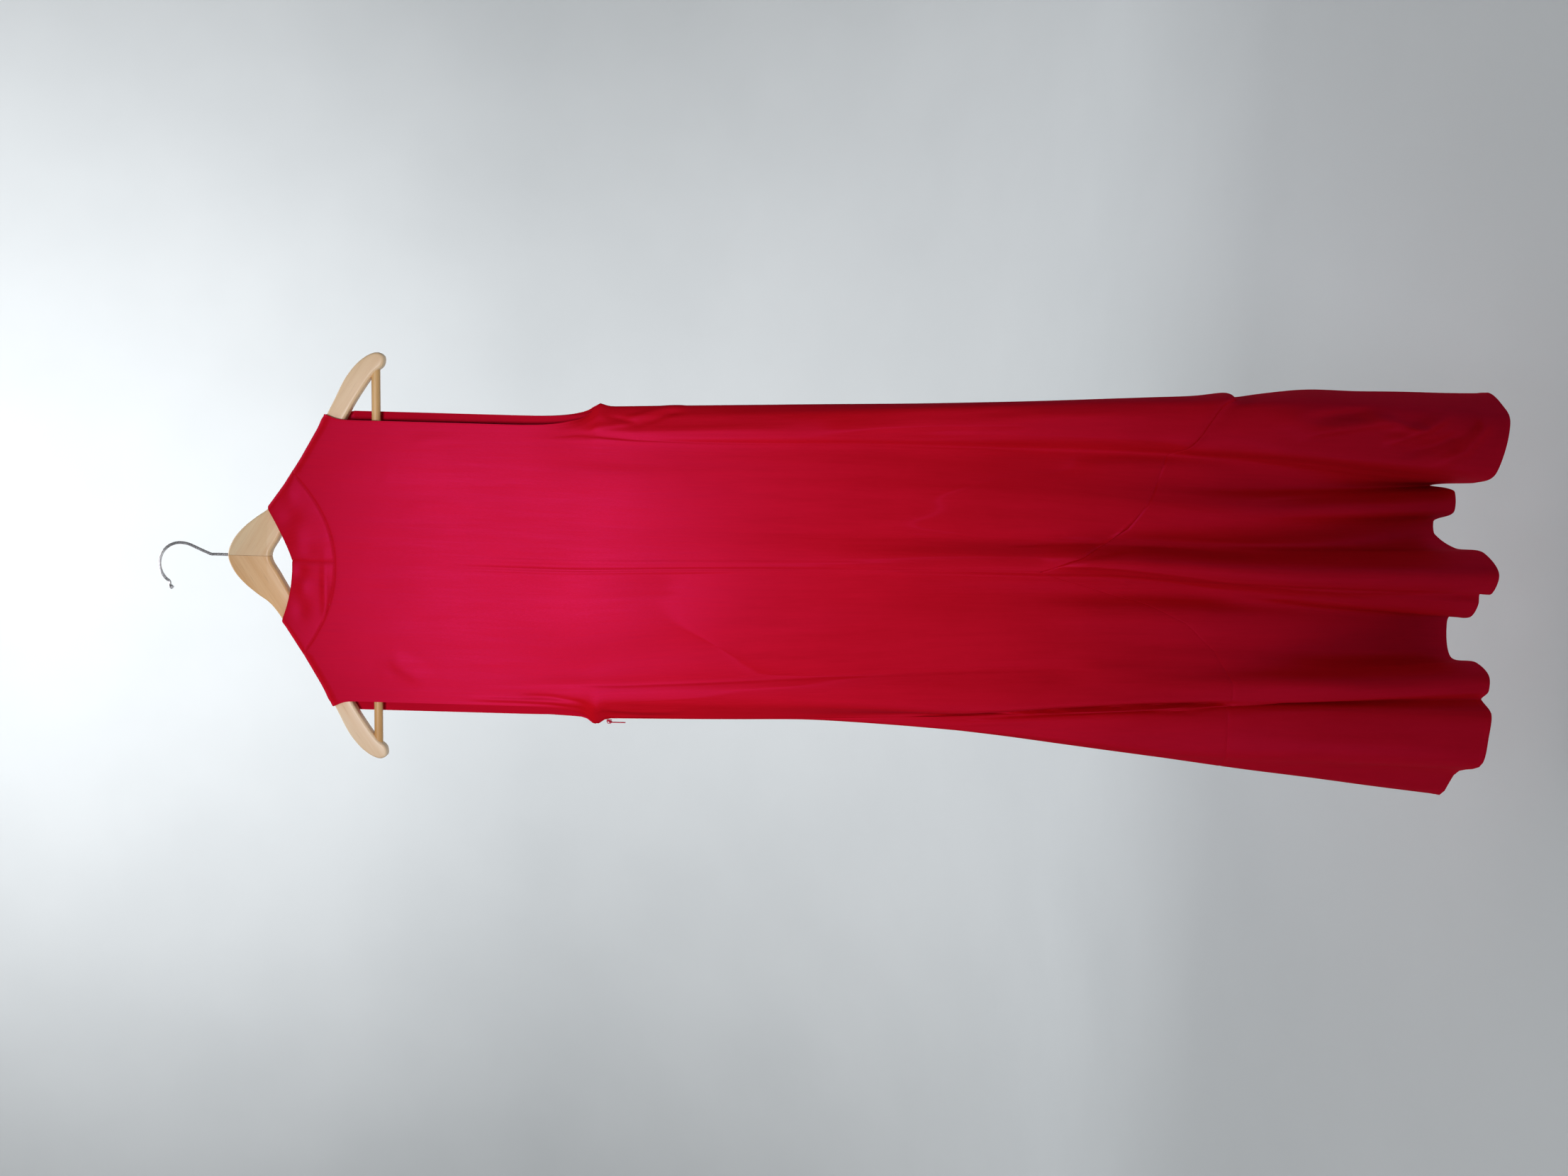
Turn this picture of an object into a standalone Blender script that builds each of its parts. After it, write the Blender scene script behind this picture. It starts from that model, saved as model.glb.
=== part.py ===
"""A sleeveless satin maxi dress with a flounce, hanging on a wooden hanger.

The dress shows its back. +X is to the viewer's right, +Z is up and -Y is towards the viewer, so the
back of the dress faces -Y and its front faces +Y. The origin is the inside top of the hook, where a
rail or a nail holds it. Lengths below are in millimetres; the meshes are made in metres.

The cloth is two skins, back and front, that run down from the hanger's shoulder line to the hem and
join at the side seams. Each skin is a smooth surface through fold lines: a row of the tables is one
fold line, with its place across the dress and how far it stands out at each level.
"""

from collections import namedtuple
from math import cos, pi, radians, sin

import bmesh
import bpy
import numpy as np
from mathutils import Matrix, Vector

MM = 0.001

# The hanger
CENTRE = 12.0  # the hanger's middle, sideways from the hook's seat
ARM_THICK = 12.0
ARM_ROUNDING = 5.4
ARM_TOP = [(0, -77), (17, -83), (31, -94.5), (43, -109), (54, -124), (80, -143), (110, -162),
           (143, -181), (171, -196), (200, -211), (217, -225), (226, -238), (228, -247)]
ARM_BOTTOM = [(224, -253), (214, -252), (206, -243), (179, -224), (155, -210), (100, -179),
              (41, -146), (20, -134), (0, -124)]
BAR_RADIUS = 4.75
BAR_LEVEL = -243.0
BAR_HALF_LENGTH = 217.0
WIRE_RADIUS = 1.6
HOOK_RADIUS = 24.0
HOOK_SHANK = 13.0  # how deep the wire goes into the wood
FIT = 0.3  # clearance between pieces that touch

# The cloth
WALL = 1.5
SEAM = 0.15  # each piece stops this far short of its seam line
RIDGE = 3.1  # how far the outer skin lies above the wood's sloping top
HANG = 9.3  # how far the outer skin hangs from the hanger's middle plane
CHEST, UNDERARM, WAIST, HIP, KNEE, HEM = -340.0, -490.0, -700.0, -950.0, -1200.0, -1447.0
LEVELS = np.array([UNDERARM, WAIST, HIP, KNEE, HEM])
ARMHOLE_CURVE = 6.0
CHEST_CLOSING, ARMHOLE_CLOSING = 1.6, 6.0  # how soon the skin flattens above the underarm
CLOSING_REACH = 25.0
ARMPIT_FLARE = 7.5
FLARE_SHARES = (1.0, 0.85, 0.5, 0.2)
ARMPIT_REACH = 8.0
NECK_HALF_WIDTH = 104.0
NECK_MIDDLE = 4.5
NECK_SEAM_LOW = -198.5
NECK_SEAM_RISE = 2.1
CENTRE_BACK = 8.0
CENTRE_FRONT = 6.0
BAND_TOP_BACK = -151.0
BAND_TOP_HALF_WIDTH = 64.0
BAND_TOP_RISE = {-1: 2.2, 1: 1.2}  # the curve of the band's top edge, left and right
V_NECK = -300.0
V_SEAM = -350.0
SKIN_STEPS = 2  # columns between two fold lines
CLEAR_OF_EXTRA = 0.12  # an ordinary column this near an extra one is left out
NECK_STEPS = {-1: (0.0, 1.0, 3.5, 7.0), 1: (0.0, 0.5, 2.0, 4.2)}  # back and front
TOP_ROWS, BODY_ROWS, FLOUNCE_ROWS = 7, 8, 6
ARMPIT_ROWS = [-516.0, -506.0, -498.0]
FACING_WALL = 1.0
FACING_GAP = 0.6
FACING_FOLDS = 3.2

# The zip at the left side seam
ZIP_LEVEL = -505.5
SLIDER_SIZE = (2.0, 4.2, 6.0)
SLIDER_GAP = 1.6
BRIDGE_STAND = 2.6
BRIDGE_BAR = 0.8
BRIDGE_WIDTH = 1.3
PULL_LENGTH = 19.0
PULL_WIDTH = 3.6
PULL_THICK = 0.8
PULL_EYE = (2.0, 3.6)

# across: sideways place at the chest, underarm, waist, hip, knee and hem.
# out: how far the line stands out from the hanger's plane at the underarm, waist, hip, knee and hem.
# seam: the height of the flounce seam on this line; hem: the height of the hem.
Fold = namedtuple("Fold", "name across out seam hem")

BACK_FOLDS = [
    Fold("left side seam", (-147, -163, -158, -148, -131, -113), (0, 2, 10, 28, 97), -1195, -1447),
    Fold("left valley", (-144, -154, -152, -146, -124, -96), (8, 9, 6, 12, 80), -1197, -1443),
    Fold("left ridge", (-141, -142, -132, -123, -113, -88), (16, 24, 36, 46, 91), -1194, -1447),
    Fold("left pleat", (-136, -133, -119, -105, -95, -73), (17, 27, 39, 49, 87), -1192, -1447),
    Fold("left crease", (-129, -123, -107, -88, -80, -62), (13, 20, 29, 37, 62), -1186, -1447),
    Fold("left panel", (-108, -98, -84, -66, -60, -63), (17, 26, 36, 37, 12), -1174, -1447),
    Fold("left hollow", (-70, -60, -48, -36, -30, -32), (20, 29, 37, 34, 0), -1140, -1447),
    Fold("centre valley", (-30, -22, -16, -8, -3, -14), (21, 30, 35, 31, 8), -1075, -1446),
    Fold("centre step", (-10, -6, 2, 8, 7, -2), (22, 31, 38, 43, 56), -1020, -1447),
    Fold("centre back", (8, 10, 17, 21, 16, 14), (22, 32, 44, 54, 76), -978, -1447),
    Fold("centre crest", (30, 30, 34, 36, 32, 36), (22, 31, 38, 50, 89), -1012, -1447),
    Fold("centre edge", (50, 48, 52, 54, 49, 56), (21, 29, 33, 35, 52), -1043, -1446),
    Fold("right hollow", (74, 70, 74, 74, 66, 74), (20, 28, 36, 39, 2), -1070, -1424),
    Fold("right ripple", (104, 100, 104, 103, 93, 104), (19, 27, 38, 46, 24), -1090, -1430),
    Fold("right slot", (128, 124, 128, 128, 118, 129), (16, 25, 34, 33, 0), -1101, -1440),
    Fold("right crease", (146, 145, 150, 152, 147, 130), (13, 22, 29, 29, 26), -1150, -1446),
    Fold("right edge", (150, 152, 158, 164, 158, 138), (14, 27, 43, 56, 66), -1163, -1447),
    Fold("right ridge", (155, 161, 167, 184, 182, 168), (9, 18, 42, 61, 92), -1168, -1447),
    Fold("right outer", (160, 173, 180, 195, 204, 204), (10, 17, 27, 42, 76), -1172, -1447),
    Fold("right side seam", (165, 188, 196, 203, 217, 228), (0, 1, 2, 5, 30), -1178, -1447),
]
FRONT_FOLDS = [
    Fold("left side seam", (-159, -163, -158, -148, -131, -113), (0, -2, -10, -28, -97), -1195, -1447),
    Fold("left wing", (-156, -163.5, -158.5, -159, -154, -140), (1.6, 0, -9, -31, -99), -1197, -1447),
    Fold("left wing turn", (-153, -162.5, -158, -167, -180, -172), (3.4, 2.4, -5, -22, -84), -1200, -1447),
    Fold("left edge", (-149, -159.5, -155, -170, -198, -223), (6, 5.6, 2, 1, -8), -1203, -1447),
    Fold("left return", (-142, -151, -146, -157, -182, -202), (9.2, 9.4, 12, 15, 14), -1200, -1446),
    Fold("left hollow", (-120, -125, -120, -122, -132, -136), (11, 12, 10, 4, -22), -1190, -1440),
    Fold("left front", (-85, -84, -80, -76, -76, -76), (13, 15, 18, 22, 24), -1170, -1447),
    Fold("centre left", (-38, -36, -34, -30, -28, -28), (14, 15, 14, 12, 14), -1090, -1444),
    Fold("centre front", (6, 7, 10, 12, 14, 20), (14, 15, 12, 2, -16), -1000, -1440),
    Fold("centre right", (52, 50, 52, 56, 60, 66), (14, 16, 17, 16, 22), -1070, -1446),
    Fold("right front", (98, 98, 100, 104, 108, 114), (13, 15, 18, 20, 18), -1140, -1447),
    Fold("right hollow", (140, 146, 148, 152, 160, 168), (11, 12, 12, 4, -14), -1166, -1441),
    Fold("right return", (166, 176, 182, 190, 200, 212), (9, 9, 10, 11, 8), -1174, -1446),
    Fold("right side seam", (176, 188, 196, 203, 217, 228), (0, -1, -2, -5, -30), -1178, -1447),
]
CENTRE_BACK_FOLD = 9
CENTRE_FRONT_FOLD = 8
LEFT_FOLD_BACK, LEFT_FOLD_FRONT = 4, 5  # where the deep fold at the left ends, back and front
BODY_SECTIONS = [("hip", 0, 5), ("waist", 4, 9), ("chest", 8, None)]  # and their rows, from the lowest up
BACK, FRONT = -1.0, 1.0
TABLES = {BACK: BACK_FOLDS, FRONT: FRONT_FOLDS}

FINISHES = {  # colour, roughness, metallic
    "satin": ((0.55, 0.004, 0.045), 0.38, 0.0),
    "satin facing": ((0.45, 0.004, 0.035), 0.5, 0.0),
    "pale wood": ((0.70, 0.50, 0.27), 0.45, 0.0),
    "bar wood": ((0.50, 0.28, 0.10), 0.5, 0.0),
    "steel wire": ((0.75, 0.75, 0.76), 0.25, 1.0),
    "red lacquer": ((0.35, 0.01, 0.02), 0.35, 0.2),
}


# ---- small tools ----------------------------------------------------------------------------

def empty_the_scene():
    for thing in list(bpy.data.objects):
        bpy.data.objects.remove(thing)


def finish_named(name):
    material = bpy.data.materials.get(name)
    if material is None:
        colour, roughness, metallic = FINISHES[name]
        material = bpy.data.materials.new(name)
        material.use_nodes = True
        shader = material.node_tree.nodes["Principled BSDF"]
        shader.inputs["Base Color"].default_value = (*colour, 1.0)
        shader.inputs["Roughness"].default_value = roughness
        shader.inputs["Metallic"].default_value = metallic
    return material


def add_piece(name, mesh, finish, parts, smooth_angle=35):
    """Puts a mesh, in metres, into the collection of parts under its own name."""
    mesh.name = name
    mesh.materials.clear()
    mesh.materials.append(finish_named(finish))
    mesh.shade_smooth()
    mesh.set_sharp_from_angle(angle=radians(smooth_angle))
    piece = bpy.data.objects.new(name, mesh)
    parts.objects.link(piece)
    return piece


def mesh_from(bm, name):
    mesh = bpy.data.meshes.new(name)
    bmesh.ops.recalc_face_normals(bm, faces=bm.faces)
    if bm.calc_volume(signed=True) < 0:
        bmesh.ops.reverse_faces(bm, faces=bm.faces)
    bm.to_mesh(mesh)
    bm.free()
    return mesh


def solid_of(curve_object):
    """The welded mesh of a curve object, which is then removed."""
    depsgraph = bpy.context.evaluated_depsgraph_get()
    mesh = bpy.data.meshes.new_from_object(curve_object.evaluated_get(depsgraph))
    mesh.transform(curve_object.matrix_world)
    bpy.data.objects.remove(curve_object)
    bm = bmesh.new()
    bm.from_mesh(mesh)
    bmesh.ops.remove_doubles(bm, verts=bm.verts, dist=0.00002)
    return mesh_from(bm, "solid")


def cut(mesh, cutter):
    """The mesh with the cutter's mesh taken out of it, by an exact Boolean."""
    scene = bpy.context.scene.collection
    body = bpy.data.objects.new("body", mesh)
    tool = bpy.data.objects.new("tool", cutter)
    scene.objects.link(body)
    scene.objects.link(tool)
    modifier = body.modifiers.new("cut", "BOOLEAN")
    modifier.operation = "DIFFERENCE"
    modifier.object = tool
    depsgraph = bpy.context.evaluated_depsgraph_get()
    result = bpy.data.meshes.new_from_object(body.evaluated_get(depsgraph))
    bpy.data.objects.remove(body)
    bpy.data.objects.remove(tool)
    return result


def rod(start, end, radius, sides=24):
    """A cylinder's mesh between two points, in millimetres."""
    start, end = Vector(start) * MM, Vector(end) * MM
    turn = (end - start).to_track_quat("Z", "Y").to_matrix().to_4x4()
    bm = bmesh.new()
    bmesh.ops.create_cone(bm, cap_ends=True, segments=sides, radius1=radius * MM, radius2=radius * MM,
                          depth=(end - start).length, matrix=Matrix.Translation((start + end) / 2) @ turn)
    return mesh_from(bm, "rod")


def block(low, high, rounding=0.0):
    """A box's mesh between two corners, in millimetres, with rounded edges."""
    low, high = Vector(low) * MM, Vector(high) * MM
    bm = bmesh.new()
    size = Matrix.Diagonal((*(high - low), 1.0))
    bmesh.ops.create_cube(bm, size=1.0, matrix=Matrix.Translation((low + high) / 2) @ size)
    if rounding:
        bmesh.ops.bevel(bm, geom=bm.edges[:], offset=rounding * MM, segments=2, affect="EDGES", profile=0.5)
    return mesh_from(bm, "block")


# ---- the hanger -----------------------------------------------------------------------------

def rounded_route(points, step):
    """Points about a step apart on a smooth curve through the given ones."""
    points = np.array(points, float)
    spans = len(points) - 1
    route = []
    for i in range(spans):
        before, after = points[max(i - 1, 0)], points[min(i + 2, spans)]
        count = max(1, round(np.linalg.norm(points[i + 1] - points[i]) / step))
        for k in range(count):
            f = k / count
            lead = (points[i + 1] - before) / 2
            trail = (after - points[i]) / 2
            route.append((2 * f**3 - 3 * f**2 + 1) * points[i] + (f**3 - 2 * f**2 + f) * lead
                         + (3 * f**2 - 2 * f**3) * points[i + 1] + (f**3 - f**2) * trail)
    return [*route, points[-1]]


def arm_top(x):
    """The height of the wood's upper edge."""
    away, heights = np.array(ARM_TOP, float).T
    return np.interp(np.abs(np.asarray(x, float) - CENTRE), away, heights)


def hanger_wood():
    """Both arms in one board: the outline, thickened and rounded all round."""
    half = ARM_TOP + ARM_BOTTOM
    outline = [(CENTRE + d, z) for d, z in half] + [(CENTRE - d, z) for d, z in reversed(half[1:-1])]
    curve = bpy.data.curves.new("outline", "CURVE")
    curve.dimensions = "2D"
    curve.fill_mode = "BOTH"
    curve.extrude = (ARM_THICK / 2 - ARM_ROUNDING) * MM
    curve.bevel_depth = ARM_ROUNDING * MM
    curve.bevel_resolution = 2
    curve.offset = -ARM_ROUNDING * MM
    spline = curve.splines.new("POLY")
    spline.points.add(len(outline) - 1)
    for point, (x, z) in zip(spline.points, outline):
        point.co = (x * MM, z * MM, 0.0, 1.0)
    spline.use_cyclic_u = True
    board = bpy.data.objects.new("board", curve)
    board.rotation_euler.x = radians(90)
    bpy.context.scene.collection.objects.link(board)
    bpy.context.view_layer.update()
    return solid_of(board)


def one_arm(wood, side):
    """The half of the wood on one side of the mitre."""
    bm = bmesh.new()
    bm.from_mesh(wood)
    place = Vector(((CENTRE + side * SEAM) * MM, 0, 0))
    sheared = bmesh.ops.bisect_plane(bm, geom=bm.verts[:] + bm.edges[:] + bm.faces[:], plane_co=place,
                                     plane_no=(side, 0, 0), clear_inner=True, dist=1e-6)
    rim = [e for e in sheared["geom_cut"] if isinstance(e, bmesh.types.BMEdge)]
    bmesh.ops.contextual_create(bm, geom=rim)
    return mesh_from(bm, "arm")


def hook_route():
    """The wire's middle line: up the shank, out along the neck and round the open hook."""
    middle = Vector((0.0, WIRE_RADIUS - HOOK_RADIUS))
    points = [(CENTRE, ARM_TOP[0][1] - HOOK_SHANK), (CENTRE, -60.0), (CENTRE, -56.5), (13.2, -53.5),
              (17.0, -44.5), (20.6, -36.5), (22.9, -30.5)]
    for k in range(17):
        turn = radians(-8 + 9.6 * k)
        points.append((middle.x + HOOK_RADIUS * cos(turn), middle.y + HOOK_RADIUS * sin(turn)))
    points += [(-24.4, -9.6), (-27.2, -12.4)]
    return points


def make_hanger(parts):
    wood = hanger_wood()
    reach = BAR_HALF_LENGTH + FIT
    sockets = rod((CENTRE - reach, 0, BAR_LEVEL), (CENTRE + reach, 0, BAR_LEVEL), BAR_RADIUS + FIT)
    wood = cut(wood, sockets)
    top = ARM_TOP[0][1]
    shank = rod((CENTRE, 0, top + 5), (CENTRE, 0, top - HOOK_SHANK - FIT), WIRE_RADIUS + FIT, 12)
    wood = cut(wood, shank)
    add_piece("hanger_arm_left", one_arm(wood, -1), "pale wood", parts)
    add_piece("hanger_arm_right", one_arm(wood, 1), "pale wood", parts)
    ends = [(CENTRE + side * BAR_HALF_LENGTH, 0, BAR_LEVEL) for side in (-1, 1)]
    add_piece("trouser_bar", rod(*ends, BAR_RADIUS), "bar wood", parts)

    curve = bpy.data.curves.new("wire", "CURVE")
    curve.dimensions = "3D"
    curve.bevel_depth = WIRE_RADIUS * MM
    curve.bevel_resolution = 2
    curve.use_fill_caps = True
    route = hook_route()
    spline = curve.splines.new("POLY")
    spline.points.add(len(route) - 1)
    for point, (x, z) in zip(spline.points, route):
        point.co = (x * MM, 0.0, z * MM, 1.0)
    spline.points[-1].radius = 1.35
    wire = bpy.data.objects.new("wire", curve)
    bpy.context.scene.collection.objects.link(wire)
    bpy.context.view_layer.update()
    add_piece("hook", solid_of(wire), "steel wire", parts)


# ---- the two skins of the dress -------------------------------------------------------------

def smooth_at(values, z):
    """Each fold line's value at the heights z, on a smooth curve through its values at the levels."""
    slopes = np.gradient(values, LEVELS, axis=1)
    k = np.clip(np.searchsorted(-LEVELS, -z) - 1, 0, len(LEVELS) - 2)
    span = LEVELS[k + 1] - LEVELS[k]
    f = (z - LEVELS[k]) / span
    return ((2 * f**3 - 3 * f**2 + 1) * values[:, k] + (f**3 - 2 * f**2 + f) * span * slopes[:, k]
            + (3 * f**2 - 2 * f**3) * values[:, k + 1] + (f**3 - f**2) * span * slopes[:, k + 1])


def fold_lines(side, z):
    """The place of every fold line of one side at the heights z: sideways, and along Y."""
    across = np.array([fold.across for fold in TABLES[side]], float)
    out = np.array([fold.out for fold in TABLES[side]], float)
    up = np.clip((z - UNDERARM) / (CHEST - UNDERARM), 0.0, 1.0)
    low = np.minimum(z, UNDERARM)
    chest = across[:, 0].reshape(-1, *([1] * np.ndim(z)))
    x = smooth_at(across[:, 1:], low)
    y = smooth_at(out, low)
    x = chest + (x - chest) * (1 - up) ** ARMHOLE_CURVE
    inward = np.minimum(chest - chest[0], chest[-1] - chest) / CLOSING_REACH
    closing = CHEST_CLOSING + (ARMHOLE_CLOSING - CHEST_CLOSING) * np.exp(-inward)
    y = HANG + (y - HANG) * (1 - up) ** closing
    flare = ARMPIT_FLARE * np.exp(-(((z - UNDERARM) / ARMPIT_REACH) ** 2))
    for k, share in enumerate(FLARE_SHARES):
        x[k] = x[k] - share * flare
        x[-1 - k] = x[-1 - k] + share * flare / 2
    return x, side * y


def drape(x, z):
    """How far the skin is from the hanger's plane where it comes down over the wood."""
    below = np.clip((arm_top(x) + RIDGE - z) / HANG, 0.0, 1.0)
    return HANG * np.sqrt(np.maximum(0.0, 1 - (1 - below) ** 2))


def skin(side, t, z):
    """Points of one side's outer skin. t counts the fold lines from the left side seam; z is the height."""
    t, z = np.broadcast_arrays(np.asarray(t, float), np.asarray(z, float))
    x, y = fold_lines(side, z)
    other_x, other_y = fold_lines(-side, z)
    joined = np.clip((CHEST - z) / (CHEST - UNDERARM), 0.0, 1.0) ** ARMHOLE_CURVE
    before = [2 * x[0] - x[1], 2 * y[0] - y[1]]
    after = [2 * x[-1] - x[-2], 2 * y[-1] - y[-2]]
    before = [before[0] + (other_x[1] - before[0]) * joined, before[1] + (other_y[1] - before[1]) * joined]
    after = [after[0] + (other_x[-2] - after[0]) * joined, after[1] + (other_y[-2] - after[1]) * joined]
    x = np.concatenate([before[0][None], x, after[0][None]])
    y = np.concatenate([before[1][None], y, after[1][None]])
    i = np.clip(np.floor(t).astype(int), 0, len(x) - 4)
    f = t - i
    near = [np.stack([np.take_along_axis(x, (i + k)[None], 0)[0],
                      np.take_along_axis(y, (i + k)[None], 0)[0]]) for k in range(4)]
    gaps = [np.sqrt(np.hypot(*(b - a))) + 1e-6 for a, b in zip(near, near[1:])]
    chord = near[2] - near[1]
    lead = chord + gaps[1] * ((near[1] - near[0]) / gaps[0] - (near[2] - near[0]) / (gaps[0] + gaps[1]))
    trail = chord + gaps[1] * ((near[3] - near[2]) / gaps[2] - (near[3] - near[1]) / (gaps[1] + gaps[2]))
    px, py = ((2 * f**3 - 3 * f**2 + 1) * near[1] + (f**3 - 2 * f**2 + f) * lead
              + (3 * f**2 - 2 * f**3) * near[2] + (f**3 - f**2) * trail)
    py = py + side * (drape(px, z) - HANG)
    return np.stack([px, py, z], axis=-1)


def outward(point_at, a, b, small_a=1e-4, small_b=0.01):
    """Unit normals of a surface point_at(a, b), pointing to its first direction times its second."""
    b = b - 2 * small_b
    along = point_at(a + small_a, b) - point_at(a - small_a, b)
    up = point_at(a, b + small_b) - point_at(a, b - small_b)
    normal = np.cross(along, up)
    return normal / np.linalg.norm(normal, axis=-1, keepdims=True)


def retreat(edge, inner):
    """The edge's points moved towards the inner row until the edge is SEAM further in."""
    run = inner - edge
    run = run / np.linalg.norm(run, axis=-1, keepdims=True)
    along = np.diff(edge, axis=0)
    along = along / np.linalg.norm(along, axis=-1, keepdims=True)
    slants = [np.sum(run * np.concatenate(ends), axis=-1, keepdims=True) ** 2
              for ends in ((along[:1], along), (along, along[-1:]))]
    return edge + SEAM * run / np.sqrt(np.clip(1 - np.maximum(*slants), 0.05, 1.0))


def shorten(points):
    """A grid of points with its rim moved inwards along the cloth, so that seams keep their gap."""
    points = points.copy()
    for edge, inner in ((0, 1), (-1, -2)):
        points[edge] = retreat(points[edge], points[inner])
        points[:, edge] = retreat(points[:, edge], points[:, inner])
    return points


def cloth_wall(outer, inner):
    """A wall of cloth: a grid laid on the outer points and extruded to the inner ones."""
    rows, columns = outer.shape[:2]
    outer, inner = shorten(outer).reshape(-1, 3) * MM, shorten(inner).reshape(-1, 3) * MM
    bm = bmesh.new()
    order = bm.verts.layers.int.new("order")
    bmesh.ops.create_grid(bm, x_segments=columns - 1, y_segments=rows - 1, size=1.0)
    for k, vert in enumerate(bm.verts):
        vert[order] = k
        vert.co = outer[k]
    walls = bmesh.ops.extrude_face_region(bm, geom=bm.faces[:], use_keep_orig=True)
    for vert in (v for v in walls["geom"] if isinstance(v, bmesh.types.BMVert)):
        vert.co = inner[vert[order]]
    bmesh.ops.triangulate(bm, faces=bm.faces, quad_method="SHORT_EDGE")
    return mesh_from(bm, "cloth")


def fold_value(side, column, t):
    """A value of the table's fold lines at t, on straight runs between them."""
    values = [getattr(fold, column) for fold in TABLES[side]]
    return np.interp(t, range(len(values)), values)


def neck_seam(side, x):
    """The height of the seam between the neck band and the body, up to the shoulder line."""
    shoulder = arm_top(x) + RIDGE
    away = np.abs(x - NECK_MIDDLE) / NECK_HALF_WIDTH
    if side == BACK:
        end = arm_top(NECK_MIDDLE + NECK_HALF_WIDTH * np.sign(x - NECK_MIDDLE)) + RIDGE
        seam = NECK_SEAM_LOW + (end - NECK_SEAM_LOW) * away**NECK_SEAM_RISE
    else:
        away = np.abs(x - CENTRE_FRONT) / np.where(x > CENTRE_FRONT, *neck_reach())
        end = arm_top(np.where(x > CENTRE_FRONT, *neck_points())) + RIDGE
        seam = V_SEAM + (end - V_SEAM) * away
    return np.where(away < 1, np.minimum(seam, shoulder), shoulder)


def neck_points():
    """Where the neck seam crosses the shoulder line: on the right and on the left."""
    return NECK_MIDDLE + NECK_HALF_WIDTH, NECK_MIDDLE - NECK_HALF_WIDTH


def neck_reach():
    right, left = neck_points()
    return right - CENTRE_FRONT, CENTRE_FRONT - left


def columns_of(side, first=0, last=None):
    """The columns of one side's panels, with more of them where the neck seam meets the shoulder."""
    count = (len(TABLES[side]) - 1) * SKIN_STEPS
    t = np.arange(count + 1) / SKIN_STEPS
    fine = np.linspace(0, t[-1], 2000)
    chest_x = skin(side, fine, CHEST)[..., 0]
    right, left = neck_points()
    extra = np.interp([x for step in NECK_STEPS[side] for x in (left + step, right - step)], chest_x, fine)
    clear = np.min(np.abs(t[:, None] - extra), axis=1) > CLEAR_OF_EXTRA
    clear[[0, -1]] = True
    t = np.sort(np.append(t[clear], extra))
    last = t[-1] if last is None else last
    return t[(t >= first) & (t <= last)]


def panel_heights(side, t):
    """Heights of a panel's rows, from the flounce seam up to the shoulder line or the neck seam."""
    top = neck_seam(side, skin(side, t, CHEST)[..., 0])
    seam = fold_value(side, "seam", t)
    low = ARMPIT_ROWS[0]
    body = [seam + (low - seam) * k / BODY_ROWS for k in range(BODY_ROWS)]
    body += [np.full_like(seam, level) for level in ARMPIT_ROWS]
    chest = [UNDERARM + (top - HANG - UNDERARM) * (k / TOP_ROWS) ** 1.7 for k in range(TOP_ROWS)]
    wrap = [top - HANG * (1 - cos(radians(turn))) for turn in (90, 67, 45, 22, 0)]
    return np.array(body + chest + wrap)


def cloth_piece(side, t, heights):
    """A wall of cloth on one side's skin, from its columns t and the heights of its rows."""
    t = np.broadcast_to(t, heights.shape)
    outer = skin(side, t, heights)
    normal = -side * outward(lambda a, b: skin(side, a, b), t, heights)
    return cloth_wall(outer, outer - WALL * normal)


def make_body(parts):
    """The back halves and the front. Each cut panel is split into sections, so that collision stays thin."""
    last = {side: len(TABLES[side]) - 1 for side in (BACK, FRONT)}
    spans = {"back_left": (BACK, 0, CENTRE_BACK_FOLD), "back_right": (BACK, CENTRE_BACK_FOLD, last[BACK]),
             "front_left": (FRONT, 0, CENTRE_FRONT_FOLD),
             "front_right": (FRONT, CENTRE_FRONT_FOLD, last[FRONT])}
    for span, (side, first, end) in spans.items():
        t = columns_of(side, first, end)
        heights = panel_heights(side, t)
        for section, low, high in BODY_SECTIONS:
            rows = heights[low:high]
            add_piece(f"{span}_{section}", cloth_piece(side, t, rows), "satin", parts)


def make_flounces(parts):
    """The flounces, split at their middles and beside the deep fold at the left for the same reason."""
    spans = {"back_flounce_fold": (BACK, 0, LEFT_FOLD_BACK),
             "back_flounce_left": (BACK, LEFT_FOLD_BACK, CENTRE_BACK_FOLD),
             "back_flounce_right": (BACK, CENTRE_BACK_FOLD, len(BACK_FOLDS) - 1),
             "front_flounce_fold": (FRONT, 0, LEFT_FOLD_FRONT),
             "front_flounce_left": (FRONT, LEFT_FOLD_FRONT, CENTRE_FRONT_FOLD),
             "front_flounce_right": (FRONT, CENTRE_FRONT_FOLD, len(FRONT_FOLDS) - 1)}
    for name, (side, first, end) in spans.items():
        t = np.linspace(first, end, (end - first) * SKIN_STEPS + 1)
        seam, hem = fold_value(side, "seam", t), fold_value(side, "hem", t)
        heights = np.array([hem + (seam - hem) * k / FLOUNCE_ROWS for k in range(FLOUNCE_ROWS + 1)])
        add_piece(name, cloth_piece(side, t, heights), "satin", parts)


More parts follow.
